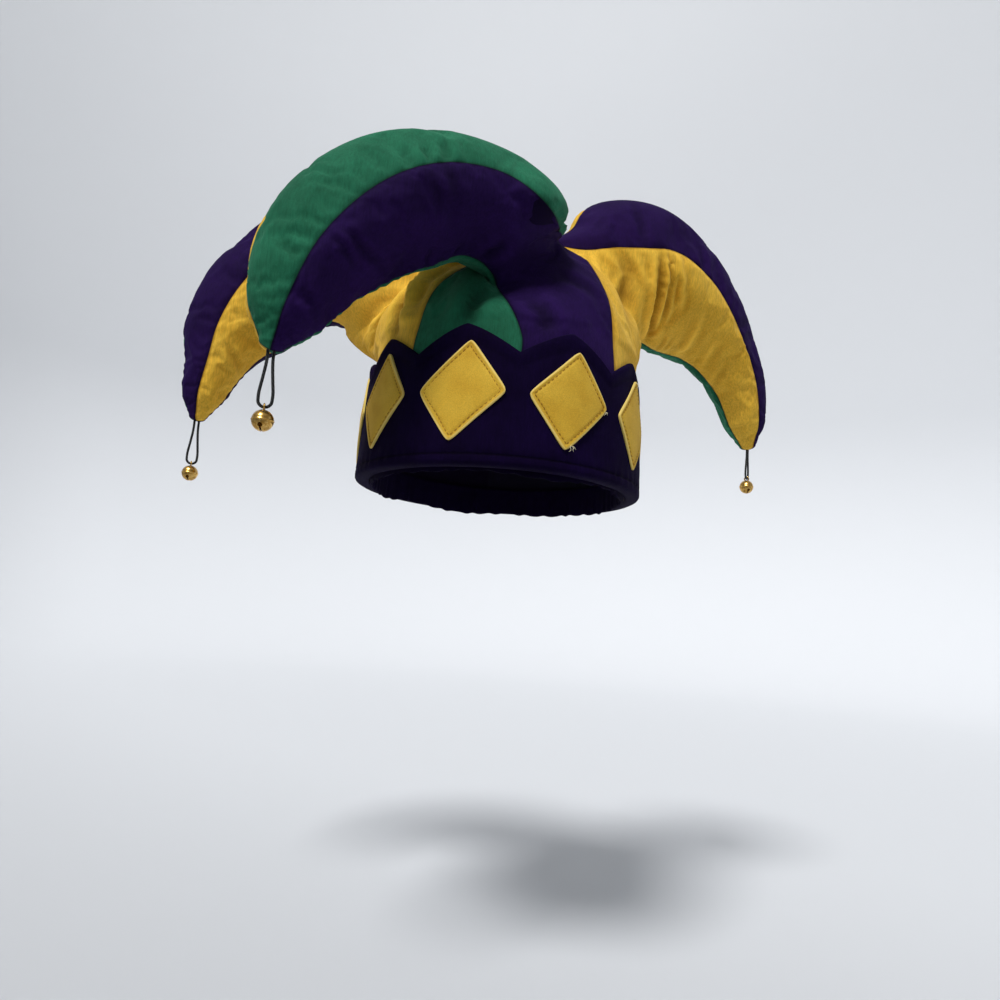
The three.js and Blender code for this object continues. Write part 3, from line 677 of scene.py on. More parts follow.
def joined_skin(gores):
    """The hat's whole skin as one mesh: points, faces, and each gore's grid of point numbers."""
    numbers = {}
    points = []
    faces = []
    for gore in gores:
        grid = np.zeros(gore["outer"].shape[:2], int)
        for i, line in enumerate(gore["keys"]):
            for j, key in enumerate(line):
                if key not in numbers:
                    numbers[key] = len(points)
                    points.append(gore["outer"][i, j])
                grid[i, j] = numbers[key]
        gore["numbers"] = grid
        for i in range(grid.shape[0] - 1):
            for j in range(grid.shape[1] - 1):
                loop = [grid[i, j], grid[i, j + 1], grid[i + 1, j + 1], grid[i + 1, j]]
                loop = [v for k, v in enumerate(loop) if v != loop[k - 1]]
                if len(loop) > 2:
                    faces.append(loop)
    return np.array(points), faces


def ends_of(faces):
    """Both ends of every edge, each edge once in each direction."""
    ends = np.array([(face[k], face[k - 1]) for face in faces for k in range(len(face))])
    ends = np.unique(np.sort(ends, axis=1), axis=0)
    return np.concatenate([ends, ends[:, ::-1]])


def averaged(values, ends):
    """The mean of its neighbours' values at every point."""
    count = np.bincount(ends[:, 0], minlength=len(values))
    columns = [np.bincount(ends[:, 0], values[ends[:, 1], k], len(values)) for k in range(values.shape[1])]
    return np.stack(columns, 1) / np.maximum(count, 1)[:, None]


def eased(points, ends, share, times):
    """Points drawn towards the mean of their neighbours, by each point's share."""
    for _ in range(times):
        points = points + (averaged(points, ends) - points) * share[:, None]
    return points


def settled(points, faces, free):
    """The skin after its stuffing has blown it up. Only free points move."""
    mesh = bpy.data.meshes.new("skin")
    mesh.from_pydata([tuple(p) for p in points * MM], [], faces)
    mesh.update()
    obj = linked("skin", mesh)
    bm = bmesh.new()
    bm.from_mesh(mesh)
    bmesh.ops.recalc_face_normals(bm, faces=bm.faces)
    bm.to_mesh(mesh)
    bm.free()
    held = obj.vertex_groups.new(name="held")
    for k in np.nonzero(~free)[0]:
        held.add([int(k)], 1.0, "REPLACE")
    modifier = obj.modifiers.new("stuffing", "CLOTH")
    cloth = modifier.settings
    for name, value in CLOTH_SETTINGS.items():
        setattr(cloth, name, value)
    cloth.effector_weights.gravity = 0
    cloth.vertex_group_mass = "held"
    cloth.shrink_min = -CLOTH_EASE
    modifier.collision_settings.use_collision = False
    modifier.point_cache.frame_start = 1
    modifier.point_cache.frame_end = SIM_FRAMES
    scene = bpy.context.scene
    for number in range(1, SIM_FRAMES + 1):
        scene.frame_set(number)
    depsgraph = bpy.context.evaluated_depsgraph_get()
    shape = obj.evaluated_get(depsgraph).data
    blown = np.zeros(len(points) * 3)
    shape.vertices.foreach_get("co", blown)
    blown = blown.reshape(-1, 3) / MM
    bpy.data.objects.remove(obj)
    scene.frame_set(1)
    move = blown - points
    swelling = move
    ends = ends_of(faces)
    for _ in range(SWELLING_ROUNDS):
        swelling = averaged(swelling, ends)
    move = (move - SWELLING_SHARE * swelling) * free[:, None]
    length = np.linalg.norm(move, axis=-1, keepdims=True)
    return points + move * np.minimum(1, MOST_MOVE / np.maximum(length, 1e-9))


def finer(grid, times):
    """The same surface with more points, by smooth lines through the rows and the columns."""
    for axis in (0, 1):
        n = grid.shape[axis]
        at = np.linspace(0, n - 1, (n - 1) * times + 1)
        moved = np.moveaxis(grid, axis, 0)
        k = np.minimum(at.astype(int), len(moved) - 2)
        grid = np.moveaxis(between(extended(moved), k, (at - k)[:, None, None]), 0, axis)
    return grid


def uneven(t, seed):
    """A smooth line that wanders between -1 and 1."""
    s = seed * 1.7
    return (np.sin(t + s) + np.sin(2.3 * t + 2.1 * s) + np.sin(4.1 * t + 3.7 * s)) / 3


def seam_relief(grid, seed):
    """The dip of a sewn seam, and the small puckers beside it."""
    steps = np.linalg.norm(np.diff(grid, axis=1), axis=-1)
    from_first = np.concatenate([np.zeros((len(grid), 1)), np.cumsum(steps, 1)], 1)
    width = from_first[:, -1:]
    from_last = width - from_first
    push = np.zeros(grid.shape[:2])
    for away, column, number in ((from_first, 0, 1), (from_last, -1, 2)):
        line = grid[:, column]
        length = np.concatenate([[0], np.cumsum(np.linalg.norm(np.diff(line, axis=0), axis=-1))])
        turn = 2 * math.pi * length / PUCKER_SPACING
        wave = np.sin(turn + 2.4 * uneven(length / 13, seed + number))
        strength = 0.35 + 0.65 * np.abs(uneven(length / 31, 2 * seed + number))
        reach = np.minimum(1, width / NARROW_GORE)
        profile = (away / PUCKER_REACH) * np.exp(1 - away / PUCKER_REACH)
        push += (PUCKER_HEIGHT * wave * strength)[:, None] * profile * reach
        push -= SEAM_DIP * np.exp(-((away / SEAM_DIP_WIDTH) ** 2)) * reach
    return push


def linked(name, data):
    obj = bpy.data.objects.new(name, data)
    bpy.context.scene.collection.objects.link(obj)
    return obj


def mesh_object(name, points, faces, material, sharp=50):
    mesh = bpy.data.meshes.new(name)
    mesh.from_pydata([tuple(p) for p in np.asarray(points) * MM], [], faces)
    mesh.validate()
    mesh.update()
    mesh.polygons.foreach_set("use_smooth", [True] * len(mesh.polygons))
    mesh.set_sharp_from_angle(angle=math.radians(sharp))
    mesh.materials.append(material)
    return linked(name, mesh)


def solid_from_grids(outer, inner, rows):
    """Points and faces of a closed solid between an outer grid and an inner grid."""
    n, m = outer.shape[:2]
    points = list(outer.reshape(-1, 3))
    out_ids = np.arange(n * m).reshape(n, m)
    if np.ptp(outer[0], axis=0).max() < 1e-6:
        out_ids[0] = out_ids[0, 0]
    out_ids[-1] = out_ids[-1, 0]
    in_ids = np.zeros((n, m), int)
    for i in range(n):
        if rows[i] >= TOP_ROW:
            in_ids[i] = len(points)
            points.append(inner[i, 0])
        else:
            in_ids[i] = np.arange(len(points), len(points) + m)
            points.extend(inner[i])
    faces = []

    def add(*loop):
        loop = [int(v) for v in loop]
        loop = [v for k, v in enumerate(loop) if v != loop[k - 1]]
        if len(loop) > 2:
            faces.append(loop)

    for i in range(n - 1):
        for j in range(m - 1):
            add(out_ids[i, j], out_ids[i, j + 1], out_ids[i + 1, j + 1], out_ids[i + 1, j])
            add(in_ids[i, j + 1], in_ids[i, j], in_ids[i + 1, j], in_ids[i + 1, j + 1])
        add(in_ids[i, 0], out_ids[i, 0], out_ids[i + 1, 0], in_ids[i + 1, 0])
        add(out_ids[i, -1], in_ids[i, -1], in_ids[i + 1, -1], out_ids[i + 1, -1])
    for j in range(m - 1):
        add(in_ids[0, j], in_ids[0, j + 1], out_ids[0, j + 1], out_ids[0, j])
    return np.array(points), faces


def faced_outwards(obj):
    bm = bmesh.new()
    bm.from_mesh(obj.data)
    used = [v for v in bm.verts if not v.link_faces]
    bmesh.ops.delete(bm, geom=used, context="VERTS")
    bmesh.ops.recalc_face_normals(bm, faces=bm.faces)
    bm.to_mesh(obj.data)
    bm.free()
    return obj


def point_values(obj, name, values):
    layer = obj.data.attributes.new(name, "FLOAT", "POINT")
    layer.data.foreach_set("value", np.asarray(values, np.float32))


def linear(rgb):
    c = np.array(rgb, float) / 255
    low = c / 12.92
    high = ((c + 0.055) / 1.055) ** 2.4
    return (*np.where(c <= 0.04045, low, high), 1.0)


def new_material(name, roughness, metallic=0.0, sheen=0.0, sheen_tint=(255, 255, 255), specular=0.3):
    material = bpy.data.materials.new(name)
    material.use_nodes = True
    nodes = material.node_tree.nodes
    shader = nodes["Principled BSDF"]
    shader.inputs["Roughness"].default_value = roughness
    shader.inputs["Metallic"].default_value = metallic
    shader.inputs["Specular IOR Level"].default_value = specular
    shader.inputs["Sheen Weight"].default_value = sheen
    shader.inputs["Sheen Roughness"].default_value = 0.45
    shader.inputs["Sheen Tint"].default_value = linear(sheen_tint)
    return material, nodes, material.node_tree.links, shader


def noise(nodes, links, scale, detail=3.0, roughness=0.5, stretch=(1, 1, 1)):
    where = nodes.new("ShaderNodeTexCoord")
    mapping = nodes.new("ShaderNodeMapping")
    mapping.inputs["Scale"].default_value = stretch
    texture = nodes.new("ShaderNodeTexNoise")
    texture.inputs["Scale"].default_value = scale
    texture.inputs["Detail"].default_value = detail
    texture.inputs["Roughness"].default_value = roughness
    links.new(where.outputs["Object"], mapping.inputs["Vector"])
    links.new(mapping.outputs["Vector"], texture.inputs["Vector"])
    return texture.outputs["Fac"]


def ramp(nodes, links, value, stops):
    node = nodes.new("ShaderNodeValToRGB")
    while len(node.color_ramp.elements) < len(stops):
        node.color_ramp.elements.new(0.5)
    for element, (place, colour) in zip(node.color_ramp.elements, stops):
        element.position = place
        element.color = colour
    links.new(value, node.inputs["Fac"])
    return node.outputs["Color"]


def mixed(nodes, links, a, b, share, blend="MIX"):
    node = nodes.new("ShaderNodeMix")
    node.data_type = "RGBA"
    node.blend_type = blend
    if isinstance(share, float):
        node.inputs["Factor"].default_value = share
    else:
        links.new(share, node.inputs["Factor"])
    for socket, value in ((node.inputs[6], a), (node.inputs[7], b)):
        if isinstance(value, tuple):
            socket.default_value = value
        else:
            links.new(value, socket)
    return node.outputs[2]


def bump(nodes, links, shader, layers):
    """layers are (height output, distance in metres, strength)."""
    last = None
    for height, distance, strength in layers:
        node = nodes.new("ShaderNodeBump")
        node.inputs["Distance"].default_value = distance
        node.inputs["Strength"].default_value = strength
        links.new(height, node.inputs["Height"])
        if last is not None:
            links.new(last, node.inputs["Normal"])
        last = node.outputs["Normal"]
    links.new(last, shader.inputs["Normal"])


def attribute(nodes, name):
    node = nodes.new("ShaderNodeAttribute")
    node.attribute_name = name
    return node.outputs["Fac"]


# Painted shade: the near-black purple that the inside faces and the rim edge of every gore are painted
# with.
INSIDE_SHADE_COLOUR = (10, 3, 26)


def cloth(name, painted_shade_colour, base, light, sheen, tint, specular):
    """Short-pile cloth: brushed patches, upright nap, fine pile, painted shade along seams and in folds, a
    painted highlight on fold crests, and painted shade inside.
    """
    material, nodes, links, shader = new_material(
        name, 0.85, sheen=sheen, sheen_tint=tint, specular=specular
    )
    brushed = noise(nodes, links, 26, 3.0, 0.55)
    colour = ramp(nodes, links, brushed, [(0.32, linear(base)), (0.72, linear(light))])
    nap = noise(nodes, links, 900, 2.0, 0.6, stretch=(1, 1, 0.12))
    napped = ramp(nodes, links, nap, [(0.3, (0.8, 0.8, 0.8, 1)), (0.7, (1.12, 1.12, 1.12, 1))])
    colour = mixed(nodes, links, colour, napped, 1.0, "MULTIPLY")
    pile = noise(nodes, links, 2600, 2.0, 0.7)
    specks = ramp(nodes, links, pile, [(0.35, (0.86, 0.86, 0.86, 1)), (0.65, (1.08, 1.08, 1.08, 1))])
    colour = mixed(nodes, links, colour, specks, 1.0, "MULTIPLY")
    # Painted highlight: fold crests are lightened towards a brighter copy of the light colour.
    crest_highlight_colour = (*(1.5 * c for c in linear(light)[:3]), 1.0)
    colour = mixed(nodes, links, colour, crest_highlight_colour, attribute(nodes, "crest_highlight"))
    # Painted shade: the colour is drawn towards its painted shade colour along the seams and in the fold
    # grooves.
    seam = attribute(nodes, "painted_shade")
    colour = mixed(nodes, links, linear(painted_shade_colour), colour, seam)
    # Painted shade: the inside faces and the rim edge take a near-black purple.
    colour = mixed(nodes, links, colour, linear(INSIDE_SHADE_COLOUR), attribute(nodes, "inside_shade"))
    links.new(colour, shader.inputs["Base Color"])
    soft = noise(nodes, links, 140, 3.0, 0.5)
    bump(nodes, links, shader, [(soft, 0.0009, 0.35), (nap, 0.0003, 0.4), (pile, 0.0002, 0.5)])
    return material


# The first colour of each cloth is its painted shade colour, for seams and fold grooves.
MATERIALS = {
    "purple": cloth("purple_cloth", (5, 1, 15), (27, 9, 54), (38, 15, 72), 0.03, (110, 70, 200), 0.08),
    "green": cloth("green_cloth", (2, 30, 20), (24, 88, 62), (40, 118, 86), 0.16, (150, 225, 190), 0.12),
    "yellow": cloth(
        "yellow_cloth", (140, 90, 8), (226, 175, 52), (238, 192, 70), 0.14, (255, 226, 150), 0.15
    ),
    "cuff": cloth("cuff_velour", (3, 0, 9), (10, 2, 29), (17, 5, 43), 0.02, (100, 60, 190), 0.04),
}


def patch_material():
    material, nodes, links, shader = new_material(
        "patch_cloth", 0.85, sheen=0.12, sheen_tint=(255, 230, 160)
    )
    brushed = noise(nodes, links, 60, 3.0, 0.55)
    colour = ramp(nodes, links, brushed, [(0.3, linear((206, 160, 40))), (0.7, linear((222, 180, 58)))])
    pile = noise(nodes, links, 1800, 3.0, 0.7)
    specks = ramp(nodes, links, pile, [(0.35, (0.8, 0.8, 0.8, 1)), (0.65, (1.1, 1.1, 1.1, 1))])
    colour = mixed(nodes, links, colour, specks, 1.0, "MULTIPLY")
    edge = attribute(nodes, "edge")
    colour = mixed(nodes, links, colour, linear((236, 206, 112)), edge)
    links.new(colour, shader.inputs["Base Color"])
    bump(nodes, links, shader, [(brushed, 0.0005, 0.3), (pile, 0.0003, 0.6)])
    return material


def brass_material():
    material, nodes, links, shader = new_material("bell_brass", 0.24, metallic=1.0, specular=0.5)
    spots = noise(nodes, links, 500, 3.0, 0.6)
    colour = ramp(nodes, links, spots, [(0.35, linear((176, 132, 60))), (0.7, linear((226, 188, 112)))])
    links.new(colour, shader.inputs["Base Color"])
    worn = ramp(nodes, links, spots, [(0.3, (0.34, 0.34, 0.34, 1)), (0.7, (0.2, 0.2, 0.2, 1))])
    links.new(worn, shader.inputs["Roughness"])
    bump(nodes, links, shader, [(spots, 0.0001, 0.25)])
    return material


def cord_material():
    material, nodes, links, shader = new_material("black_cord", 0.6, sheen=0.15)
    where = nodes.new("ShaderNodeTexCoord")
    ply = nodes.new("ShaderNodeTexWave")
    ply.bands_direction = "DIAGONAL"
    ply.inputs["Scale"].default_value = 260
    links.new(where.outputs["Object"], ply.inputs["Vector"])
    colour = ramp(nodes, links, ply.outputs["Fac"], [(0.2, linear((8, 9, 9))), (0.8, linear((34, 36, 36)))])
    links.new(colour, shader.inputs["Base Color"])
    bump(nodes, links, shader, [(ply.outputs["Fac"], 0.0003, 0.7)])
    return material


def thread_material(name, dark, light):
    material, nodes, links, shader = new_material(name, 0.7)
    twist = noise(nodes, links, 1500, 2.0, 0.6)
    colour = ramp(nodes, links, twist, [(0.3, linear(dark)), (0.7, linear(light))])
    links.new(colour, shader.inputs["Base Color"])
    bump(nodes, links, shader, [(twist, 0.0002, 0.5)])
    return material


MATERIALS["patch"] = patch_material()
MATERIALS["thread"] = thread_material("stitch_thread", (140, 98, 20), (188, 140, 40))
MATERIALS["pale_thread"] = thread_material("pale_thread", (196, 186, 150), (235, 228, 200))
MATERIALS["brass"] = brass_material()
MATERIALS["cord"] = cord_material()


def finished(obj, nodes):
    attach(obj, "root")
    if nodes:
        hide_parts(*nodes)
    return obj


# The skin is eased and stuffed as one, before each gore is built from it.
gores = hat_gores()
skin, skin_faces = joined_skin(gores)
free = np.ones(len(skin), bool)
bend = np.zeros(len(skin))
for gore in gores:
    numbers = gore["numbers"]
    free[numbers[:, [0, -1]]] = False
    held = (gore["rows"] <= WALL_ROW + WALL_HELD) | (gore["rows"] > TIP_HELD)
    free[numbers[held]] = False
    for name, both, left_out, strength, start, full, still, end in EASED:
        if gore["horn"]["name"] == name and (both or not gore["upper"]):
            share = smooth(gore["rows"], start, full) * (1 - smooth(gore["rows"], still, end))
            eased_numbers = numbers[:, : numbers.shape[1] - left_out]
            bend[eased_numbers] = np.maximum(bend[eased_numbers], strength * share[:, None])
from_apex = np.linalg.norm(skin - APEX, axis=-1)
sewn = skin
skin_ends = ends_of(skin_faces)
skin = eased(skin, skin_ends, 0.5 * (1 - smooth(from_apex, *APEX_FILLED)), APEX_TIMES)
skin = eased(skin, skin_ends, bend, EASED_TIMES)
free[from_apex < APEX_REACH] = False
outer_apex = skin[int(np.argmin(from_apex))]
for gore in gores:
    shift = (skin - sewn)[gore["numbers"]].mean(1)[:, None]
    gore["inner"] = gore["inner"] + shift * smooth(gore["rows"], TOP_ROW - 1, TOP_ROW)[:, None, None]
skin = settled(skin, skin_faces, free)
skin = eased(skin, skin_ends, 0.5 * (1 - smooth(from_apex, *APEX_SMOOTHED)), APEX_SMOOTHED_TIMES)

for seed, gore in enumerate(gores):
    grid = skin[gore["numbers"]]
    outer = finer(grid, FINER)
    inner = finer(gore["inner"], FINER)
    rows = np.interp(np.linspace(0, 1, len(outer)), np.linspace(0, 1, len(gore["rows"])), gore["rows"])
    shares = np.linspace(0, 1, outer.shape[1])
    if gore["upper"]:
        outer[0] = outer[0, 0]
    outer[-1] = outer[-1, 0]
    normal = normals_of(outer, inner)
    towards_core = unit(inner - outer)
    push = seam_relief(outer, seed)
    quiet = smooth(rows, *RELIEF_STARTS) * (1 - smooth(rows, *RELIEF_ENDS))
    push = push * quiet[:, None]
    fold = FOLD_DEPTH * fold_push(gore["name"], outer, rows, shares) * quiet[:, None]
    push = (push + fold) * smooth(np.linalg.norm(outer - outer_apex, axis=-1), *APEX_FADE)
    ends = np.minimum(shares, 1 - shares)
    off_seam = smooth(ends, 0.0, 0.12)[None, :, None]
    way = unit(normal * off_seam - towards_core * (1 - off_seam))
    outer = outer + way * push[..., None]
    thin = outer - normal * THIN_WALL
    thick = smooth(rows, *THIN_ROWS)[:, None, None]
    inner = np.where((rows >= TOP_ROW)[:, None, None], thin + (inner - thin) * thick, inner)
    points, faces = solid_from_grids(outer, inner, rows)
    piece = mesh_object(gore["name"] + "_cloth", points, faces, MATERIALS[gore["colour"]])
    across = outer.shape[1]
    count = len(outer) * across
    # Painted shade: the cloth's colour is darkened along the seams and in the grooves of the folds.
    painted_shade_mask = np.ones(len(points))
    steps = np.linalg.norm(np.diff(outer, axis=1), axis=-1)
    first = np.concatenate([np.zeros((len(outer), 1)), np.cumsum(steps, 1)], 1)
    away = np.minimum(first, first[:, -1:] - first)
    shade = 1 - FOLD_SHADE * np.clip(-fold / FOLD_SHADE_DEPTH, 0, 1)
    light = SEAM_LIGHT + (1 - SEAM_LIGHT) * smooth(away, 0.0, SEAM_WIDTH)
    painted_shade_mask[:count] = (light * shade).ravel()
    point_values(piece, "painted_shade", painted_shade_mask)
    # Painted highlight: the crests of the folds are lightened.
    crest_highlight = np.zeros(len(points))
    crest_highlight[:count] = CREST_HIGHLIGHT_SHARE * np.clip(fold / CREST_HEIGHT, 0, 1).ravel()
    point_values(piece, "crest_highlight", crest_highlight)
    # Painted shade: the inside faces, the low inside rows of the wall and the outer rim rows are painted
    # near-black purple.
    inside_shade = np.full(len(points), INSIDE_SHADE_SHARE)
    inside_shade[:count] = np.repeat(np.where(rows < RIM_ROWS, 1.0, 0.0), across)
    inside_shade[count : count + (rows < WALL_ROW).sum() * across] = 1
    point_values(piece, "inside_shade", inside_shade)
    faced_outwards(piece)
    finished(piece, [gore["name"]])


def cuff_height(azimuth):
    turn = azimuth * CUFF_POINTS / 360 + 0.5
    share = 1 - (np.abs(turn - np.round(turn)) * 2) ** 1.25
    return CUFF_NOTCH_HEIGHT + share * (CUFF_POINT_HEIGHT - CUFF_NOTCH_HEIGHT)


def beside_crown(azimuth, z, out):
    heights = [outer_height(r[1]) for r in CROWN[: WALL_ROW + 1]]
    radius = np.interp(z, heights, [r[0] for r in CROWN[: WALL_ROW + 1]])
    point = on_oval(OUTER, radius, azimuth, z)
    return point + from_oval(azimuth) * np.asarray(out)[..., None]


def cuff_out(z):
    return CLEARANCE + CUFF_FLARE * np.maximum(0, 1 - z / CUFF_NOTCH_HEIGHT)


def ring_object(name, rings, material, sharp=60):
    """A closed ring from an array of (columns, profile points, 3)."""
    n, m = rings.shape[:2]
    faces = []
    for i in range(n):
        for j in range(m):
            a, b = i * m + j, ((i + 1) % n) * m + j
            c, d = ((i + 1) % n) * m + (j + 1) % m, i * m + (j + 1) % m
            faces.append((a, b, c, d))
    obj = mesh_object(name, rings.reshape(-1, 3), faces, material, sharp)
    return faced_outwards(obj)


# The cuff's ring: columns, levels near its foot, and the height of its stitched line.
CUFF_COLUMNS = 600
CUFF_LEVELS = [0.0, 0.4, 1.0, 2.0, 3.2, 4.2, 4.9, 5.3, 5.7, 6.4]
CUFF_STITCH = 5.3

# The cuff's foot is turned under the wall: share of the way to the hollow, and height.
CUFF_TURN = [(0.0, -0.25), (0.5, -0.25), (0.9, -0.3), (1.0, -0.6), (0.9, -0.95), (0.5, -1.1), (0.0, -1.0)]


def cuff_piece():
    columns = CUFF_COLUMNS
    azimuth = np.linspace(0, 360, columns, endpoint=False)
    high = cuff_height(azimuth)
    half = CUFF_WALL / 2
    upper = np.linspace(0, 1, 26)[1:]
    profile = []
    painted_shade_mask = []
    for low_part in CUFF_LEVELS:
        profile.append(("out", low_part, None))
    for share in upper:
        profile.append(("out", None, share))
    for turn in (20, 45, 70, 90, 110, 135, 160):
        profile.append(("roll", turn, None))
    for share in (1.0, 0.8, 0.6, 0.4, 0.2, 0.0):
        profile.append(("in", None, share))
    for share, z in CUFF_TURN:
        profile.append(("under", z, share))
    rings = []
    body_low = CUFF_LEVELS[-1]
    body_high = high - half
    for kind, a, share in profile:
        if kind == "out":
            z = np.full(columns, a) if share is None else body_low + (body_high - body_low) * share
            stitch = 0.55 * np.exp(-(((z - CUFF_STITCH) / 0.7) ** 2))
            rolled = 0.7 * np.exp(-(((high - z - 4) / 4) ** 2))
            rolled = rolled - 0.45 * np.exp(-(((high - z - 10) / 1.8) ** 2))
            swell = 0.5 * np.sin(np.radians(9 * azimuth + 2 * z)) * np.sin(np.radians(5 * azimuth - 3 * z))
            puckers = 0.22 * np.sin(np.radians(azimuth) * 70 + 2 * uneven(np.radians(azimuth) * 9, 3))
            puckers = puckers * np.exp(-(((z - 6) / 4) ** 2))
            foot = -0.7 * np.exp(-((z / 0.7) ** 2))
            out = cuff_out(z) + CUFF_WALL + rolled - stitch + swell * smooth(z, 4, 20) + puckers + foot
            # Painted shade: the velour is darkened along its stitched line and in the dip below its rolled
            # top edge.
            painted_shade_here = 1 - 0.8 * np.exp(-(((z - CUFF_STITCH) / 0.6) ** 2))
            painted_shade_here = painted_shade_here - 0.3 * np.exp(-(((high - z - 10) / 1.5) ** 2))
        elif kind == "roll":
            t = math.radians(a)
            z = body_high + half * math.sin(t) * 1.05
            out = cuff_out(z) + half + (half + 0.35) * math.cos(t)
            painted_shade_here = np.ones(columns)
        elif kind == "under":
            near = beside_crown(azimuth, np.zeros(columns), cuff_out(0.0) + CLEARANCE + 0 * azimuth)
            far = on_oval(HOLLOW, 1.0, azimuth, 0.0) - from_oval(azimuth) * 2 * CLEARANCE
            rings.append(near + (far - near) * share + [0, 0, a])
            # Painted shade: the turned-under foot is darkened.
            painted_shade_mask.append(np.full(columns, 0.8))
            continue
        else:
            z = 0.3 + (body_high - 0.3) * share
            out = cuff_out(z) + 0.02
            # Painted shade: the inner face against the crown is darkened.
            painted_shade_here = np.full(columns, 0.6)
        rings.append(beside_crown(azimuth, z, out))
        painted_shade_mask.append(painted_shade_here)
    rings = np.array(rings).transpose(1, 0, 2)
    obj = ring_object("cuff_velour_band", rings, MATERIALS["cuff"], 80)
    point_values(obj, "painted_shade", np.clip(np.array(painted_shade_mask).T.ravel(), 0, 1))
    return finished(obj, ["cuff"])


def hem_piece():
    columns = 720
    azimuth = np.linspace(0, 360, columns, endpoint=False)
    a = np.radians(azimuth)
    wave = -HEM_DROP - HEM_WAVE * np.sin(7 * a) * np.sin(a + math.radians(40))
    wave = wave + 0.5 * np.sin(41 * a + 2 * uneven(7 * a, 5))
    rings = []
    shares = [0, 0.06, 0.15, 0.3, 0.5, 0.75, 1]
    out_side = [("out", s) for s in shares]
    in_side = [("in", s) for s in reversed(shares)]
    for kind, s in [*out_side, *in_side]:
        z = wave + (HEM_HEIGHT - wave) * s
        share = 1 + (CROWN[1][2] - 1) * np.maximum(0, z) / hollow_height(CROWN[1][3])
        gathers = 0.35 * np.sin(53 * a + 3 * uneven(9 * a, 2)) * (1 - s)
        round_edge = 0.6 * math.exp(-((s / 0.05) ** 2))
        if kind == "out":
            inwards = 3 * CLEARANCE + round_edge + 0.2 * (1 - s) + 0 * a
        else:
            inwards = 3 * CLEARANCE + HEM_WALL - round_edge + gathers
        rings.append(on_oval(HOLLOW, share, azimuth, z) - from_oval(azimuth) * inwards[:, None])
    rings = np.array(rings).transpose(1, 0, 2)
    obj = ring_object("inner_hem_band", rings, MATERIALS["cuff"])
    # Painted shade: the whole inner hem band is darkened.
    point_values(obj, "painted_shade", np.full(len(obj.data.vertices), 0.7))
    return finished(obj, ["inner_hem"])


cuff_piece()
hem_piece()


DIAMOND_ROUND = 0.055
DIAMOND_SIDE = math.hypot(DIAMOND_WIDTH, DIAMOND_HEIGHT) / 2


def diamond_azimuth(number):
    return 360 / CUFF_POINTS * (number - 0.5)


def diamond_at(azimuth, u, v, out):
    low = np.array([-DIAMOND_LEAN / 2, DIAMOND_FOOT])
    high = np.array([DIAMOND_LEAN / 2, DIAMOND_FOOT + DIAMOND_HEIGHT])
    right = np.array([DIAMOND_WIDTH / 2, DIAMOND_FOOT + DIAMOND_HEIGHT / 2])
    left = np.array([-DIAMOND_WIDTH / 2, DIAMOND_FOOT + DIAMOND_HEIGHT / 2])
    u, v = np.broadcast_arrays(u, v)
    cut = 1 - DIAMOND_ROUND * ((2 * u - 1) * (2 * v - 1)) ** 8
    u, v = (0.5 + (u - 0.5) * cut)[..., None], (0.5 + (v - 0.5) * cut)[..., None]
    flat = (1 - u) * (1 - v) * low + u * (1 - v) * right + (1 - u) * v * left + u * v * high
    girth = math.hypot(*OUTER) / math.sqrt(2)
    around = np.degrees(flat[..., 0] / girth)
    z = flat[..., 1]
    return beside_crown(azimuth + around, z, cuff_out(z) + CUFF_WALL + CLEARANCE + out)


def diamond_piece(number):
    azimuth = diamond_azimuth(number)
    inside = np.array([0, 0.3, 0.8, 1.4, 2.1, 2.6, 3.1, 3.7, 4.6, 6])
    middle = np.linspace(6, DIAMOND_SIDE - 6, 14)[1:-1]
    lines = np.concatenate([inside, middle, DIAMOND_SIDE - inside[::-1]]) / DIAMOND_SIDE
    u, v = np.meshgrid(lines, lines, indexing="ij")
    away = np.minimum(np.minimum(u, 1 - u), np.minimum(v, 1 - v)) * DIAMOND_SIDE
    body = DIAMOND_WALL * (0.72 + 0.28 * np.minimum(1, away / 0.8))
    groove = 0.5 * np.exp(-(((away - STITCH_INSET) / 0.7) ** 2))
    pillow = 0.35 * smooth(away, 3, 12) + 0.25 * np.sin(5 * u + number) * np.sin(4 * v + 2 * number)
    outer = diamond_at(azimuth, u, v, body - groove + pillow)
    inner = diamond_at(azimuth, u, v, 0 * u)
    n = len(lines)
    points = np.concatenate([outer.reshape(-1, 3), inner.reshape(-1, 3)])
    ids = np.arange(n * n).reshape(n, n)
    low = ids + n * n
    faces = []
    for i in range(n - 1):
        for j in range(n - 1):
            faces.append([ids[i, j], ids[i + 1, j], ids[i + 1, j + 1], ids[i, j + 1]])
            faces.append([low[i, j], low[i, j + 1], low[i + 1, j + 1], low[i + 1, j]])
        borders = (
            ((i, 0), (i + 1, 0)),
            ((i, n - 1), (i + 1, n - 1)),
            ((0, i), (0, i + 1)),
            ((n - 1, i), (n - 1, i + 1)),
        )
        for a, b in borders:
            faces.append([ids[a], low[a], low[b], ids[b]])
    faces = [[int(v) for v in f] for f in faces]
    obj = mesh_object(f"diamond_{number}_patch", points, faces, MATERIALS["patch"], 60)
    edge = 1 - smooth(away, 0.6, 1.5)
    point_values(obj, "edge", np.concatenate([edge.ravel(), np.ones(n * n)]))
    faced_outwards(obj)
    return finished(obj, [f"diamond_{number}"])


